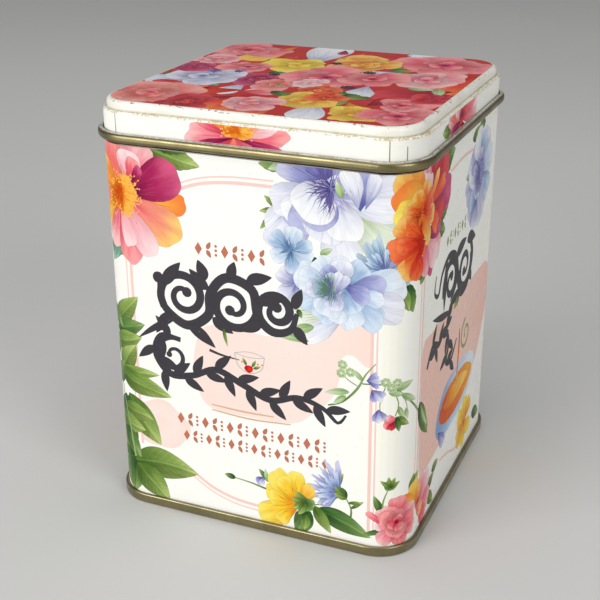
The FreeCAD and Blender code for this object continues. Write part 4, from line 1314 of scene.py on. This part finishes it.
def body_finish():
    """Bright tin on the neck outside, with a dark band of painted shade where the lid's curl ends, and gold
    lacquer inside.
    """
    f = Finish("body_tinplate")
    push, _, _, z = outward(f)
    gold, roughness, drawn = gold_layer(f, INNER_GOLD, INNER_GOLD_DEEP)
    rolled = f.noise(0.5, 3.0, (1.0, 1.0, 12.0))
    tin = f.mixed(f.rise(rolled, 0.35, 0.7), TIN, TIN_ROLLED)
    # Painted shade: a near-black band on the neck, in the gap where the lid's curl ends
    shade_under_curl = f.band(z, *below_top(13.1, 12.7, 10.8, 10.0))
    tin = f.mixed(shade_under_curl * 0.9, tin, GRIME_AND_SHADE)
    colour = f.mixed(f.rise(push, -0.1, 0.1), gold, tin)
    normal = f.bumped(drawn, 0.002, f.bumped(f.noise(6.0, 2.0), 0.02))
    return f.shaded(colour, roughness, 1.0, normal)


def curl_side(f, push, offset, z, up):
    """Which of the lid's curl shows the inner side of its sheet, and all of the curl."""
    curl_out = (LID[:, 0].max() - SKIRT_HALF) / 2.0
    middle = SKIRT_HALF - WALL_HALF + curl_out - HALF_SHEET
    radius = curl_out + HALF_SHEET
    highest_middle = CURL_TOP_Z - radius
    middle_z = f.calc("MINIMUM", f.larger(z, LID[:, 2].min() + radius), highest_middle)
    turned_out = (offset - middle) * push + (z - middle_z) * up
    in_curl = f.below(z, CURL_TOP_Z + 0.02)
    return in_curl * f.above(turned_out, 0.0), in_curl


def lid_finish():
    """White enamel outside and gold lacquer inside, which the curl turns out at the lid's foot."""
    f = Finish("lid_enamel_and_lacquer")
    push, up, offset, z = outward(f)
    # The curl takes the darkened gold, with its painted shade
    gold, gold_roughness, drawn = gold_layer(f)
    curl_gold, in_curl = curl_side(f, push, offset, z, up)
    is_gold = f.larger(curl_gold, (1.0 - in_curl) * f.below(push + up, 0.0))

    mottle = f.noise(0.9, 3.0)
    margin = curl_gold * f.rise(up + mottle * 0.16, 0.86, 0.95)
    bare = f.mixed(f.rise(mottle, 0.40, 0.66), CURL_BARE, CURL_DIRTY)
    cloud = f.noise(10.0, 3.0)
    enamel = f.mixed(f.rise(cloud, 0.40, 0.75), ENAMEL, ENAMEL_AGED)
    shoulder = f.band(z, *below_top(3.7, 3.05, 2.8, 2.45))
    chipped = f.noise(0.8, 4.0) + f.noise(6.0, 2.0) * 0.5
    worn = shoulder * f.rise(chipped, 0.72, 0.86)
    enamel = f.mixed(worn * 0.85, enamel, ENAMEL_WORN)
    top_edge = f.rise(z, *below_top(0.8, 0.3)) * f.rise(offset, -2.62, -2.5)
    nicked = top_edge * f.rise(chipped, 0.86, 0.90)
    enamel = f.mixed(nicked * 0.8, enamel, ENAMEL_NICK)
    # The inner corner of the step is darkened towards ochre
    in_step = f.rise(z, *below_top(2.1, 2.78)) * f.rise(offset, -0.75, -1.25)
    enamel = f.mixed(in_step * 0.55, enamel, STEP_OCHRE)

    colour = f.mixed(is_gold, enamel, f.mixed(margin, gold, bare))
    metallic = is_gold * f.rise(margin, 0.0, 1.0, 1.0, 0.35)
    roughness = f.blended(is_gold, f.rise(cloud, 0.3, 0.7, 0.22, 0.34), gold_roughness)
    normal = f.bumped(drawn, 0.001, f.bumped(f.noise(6.0, 2.0), 0.02))
    normal = f.bumped(f.larger(worn, nicked), -0.01, normal)
    return f.shaded(colour, roughness, metallic, normal, IOR=1.30)


def compound_finish():
    f = Finish("sealing_compound")
    grain = f.noise(0.25, 4.0)
    colour = f.mixed(f.rise(grain, 0.3, 0.7), COMPOUND, COMPOUND_DARK)
    return f.shaded(colour, f.rise(grain, 0.3, 0.7, 0.6, 0.8), 0.0, f.bumped(grain, 0.02))


def knob_finish():
    """Cream enamel with faint clouds and small dark specks."""
    f = Finish("cream_enamel")
    cloud = f.noise(2.5, 4.0)
    specks = f.rise(f.noise(0.5, 2.0), 0.70, 0.73)
    colour = f.mixed(specks * 0.6, f.mixed(f.rise(cloud, 0.35, 0.7), CREAM, CREAM_AGED), CREAM_SPECK)
    roughness = f.rise(cloud, 0.3, 0.7, 0.16, 0.28)
    normal = f.bumped(f.noise(1.8, 2.0), 0.006)
    return f.shaded(colour, roughness, 0.0, normal, Coat_Weight=0.4, Coat_Roughness=0.08)


def rivet_finish():
    f = Finish("tinned_rivet")
    turned = f.noise(0.3, 3.0)
    colour = f.mixed(f.rise(turned, 0.3, 0.7), TIN, TIN_TURNED)
    return f.shaded(colour, f.rise(turned, 0.3, 0.7, 0.28, 0.45), 1.0, f.bumped(turned, 0.004))


def finish_cad_nodes():
    for name, material, slot in (
        ("body_wrap", body_finish(), "printed_body"),
        # The base end takes the darkened gold, with its painted shade
        ("base_end", gold_finish("gold_lacquer_with_painted_shade", GOLD, GOLD_DEEP), "gold_lacquer"),
        ("seam_compound", compound_finish(), "sealing_compound"),
        ("outer_lid", lid_finish(), "printed_lid"),
        ("inner_lid", gold_finish("clean_gold_lacquer", INNER_GOLD, INNER_GOLD_DEEP), "gold_lacquer"),
        ("inner_lid_knob", knob_finish(), "knob_enamel"),
        ("knob_rivet", rivet_finish(), "rivet_steel"),
    ):
        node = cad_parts[name]
        node.data.materials.clear()
        node.data.materials.append(material)


# ---------------------------------------------------------------- studio

FLOOR_REACH = 6.0
FLOOR_PALE = (0.62, 0.62, 0.61)
FLOOR_DEEP = (0.60, 0.60, 0.59)
LAMPS_AIM = Vector((0.0, 0.0, 0.06))
WORLD_COLOUR = (1.0, 1.0, 1.0, 1.0)
WORLD_STRENGTH = 0.25
CLIP_START = 0.01
CLIP_END = 50.0


def floor():
    """A large pale floor."""
    corners = strip(-FLOOR_REACH, FLOOR_REACH, -FLOOR_REACH, FLOOR_REACH)
    mesh = bpy.data.meshes.new("floor")
    mesh.from_pydata([(x, y, 0.0) for x, y in corners], [], [(0, 1, 2, 3)])
    f = Finish("pale_floor")
    colour = f.mixed(f.rise(f.noise(400.0, 2.0), 0.3, 0.7), FLOOR_PALE, FLOOR_DEEP)
    mesh.materials.append(f.shaded(colour, 0.7))
    piece = placed("floor", mesh)


def direction(azimuth, elevation):
    """From the object towards an azimuth and an elevation, as the camera's are given."""
    turn, lift = math.radians(azimuth), math.radians(elevation)
    return Vector((math.sin(turn) * math.cos(lift), -math.cos(turn) * math.cos(lift), math.sin(lift)))


def softbox(name, azimuth, elevation, distance, size, watts):
    light = bpy.data.lights.new(name, "AREA")
    light.shape = "RECTANGLE"
    light.size, light.size_y = size
    light.energy = watts
    lamp = placed(name, light)
    away = direction(azimuth, elevation)
    lamp.location = LAMPS_AIM + away * distance
    lamp.rotation_mode = "QUATERNION"
    lamp.rotation_quaternion = away.to_track_quat("Z", "Y")


def studio():
    """Pale surroundings, and soft boxes at the front left, beyond the near corner and overhead."""
    world = bpy.data.worlds.new("studio")
    world.use_nodes = True
    background = world.node_tree.nodes["Background"]
    background.inputs["Color"].default_value = WORLD_COLOUR
    background.inputs["Strength"].default_value = WORLD_STRENGTH
    bpy.context.scene.world = world
    softbox("key", -30.0, 14.0, 1.6, (1.1, 0.9), 20.0)
    softbox("side", 62.0, 22.0, 1.5, (0.6, 0.9), 8.8)
    softbox("top", 10.0, 80.0, 1.4, (1.3, 1.3), 8.0)
    bpy.context.scene.view_settings.view_transform = "Standard"


def camera():
    data = bpy.data.cameras.new("camera")
    data.lens = LENS_MM
    data.sensor_width = SENSOR_MM
    data.dof.use_dof = False
    data.clip_start = CLIP_START
    data.clip_end = CLIP_END
    back = direction(VIEW_AZIMUTH, VIEW_ELEVATION)
    right = (-back).cross(Vector((0.0, 0.0, 1.0))).normalized()
    up = right.cross(-back)
    roll = math.radians(VIEW_ROLL)
    rolled_right = right * math.cos(roll) + up * math.sin(roll)
    rolled_up = up * math.cos(roll) - right * math.sin(roll)
    turn = Matrix((rolled_right, rolled_up, back)).transposed()
    piece = placed("camera", data)
    piece.matrix_world = Matrix.Translation(VIEW_TARGET + back * VIEW_DISTANCE) @ turn.to_4x4()
    bpy.context.scene.camera = piece


PRINT = print_finish()
finish_cad_nodes()
wall_films(
    "printed_", "tin", body_artwork(), SEAM_TOP_Z - SEAM_TUCK, WALL_TOP_Z, on_wall,
    strip(*SEAM_SLOT),
)
lid_top_film()
wall_films(
    "skirt_print_", "slip_lid", skirt_artwork(), CURL_TOP_Z - CURL_TUCK, SKIRT_TOP_Z,
    on_skirt,
)
floor()
studio()
camera()
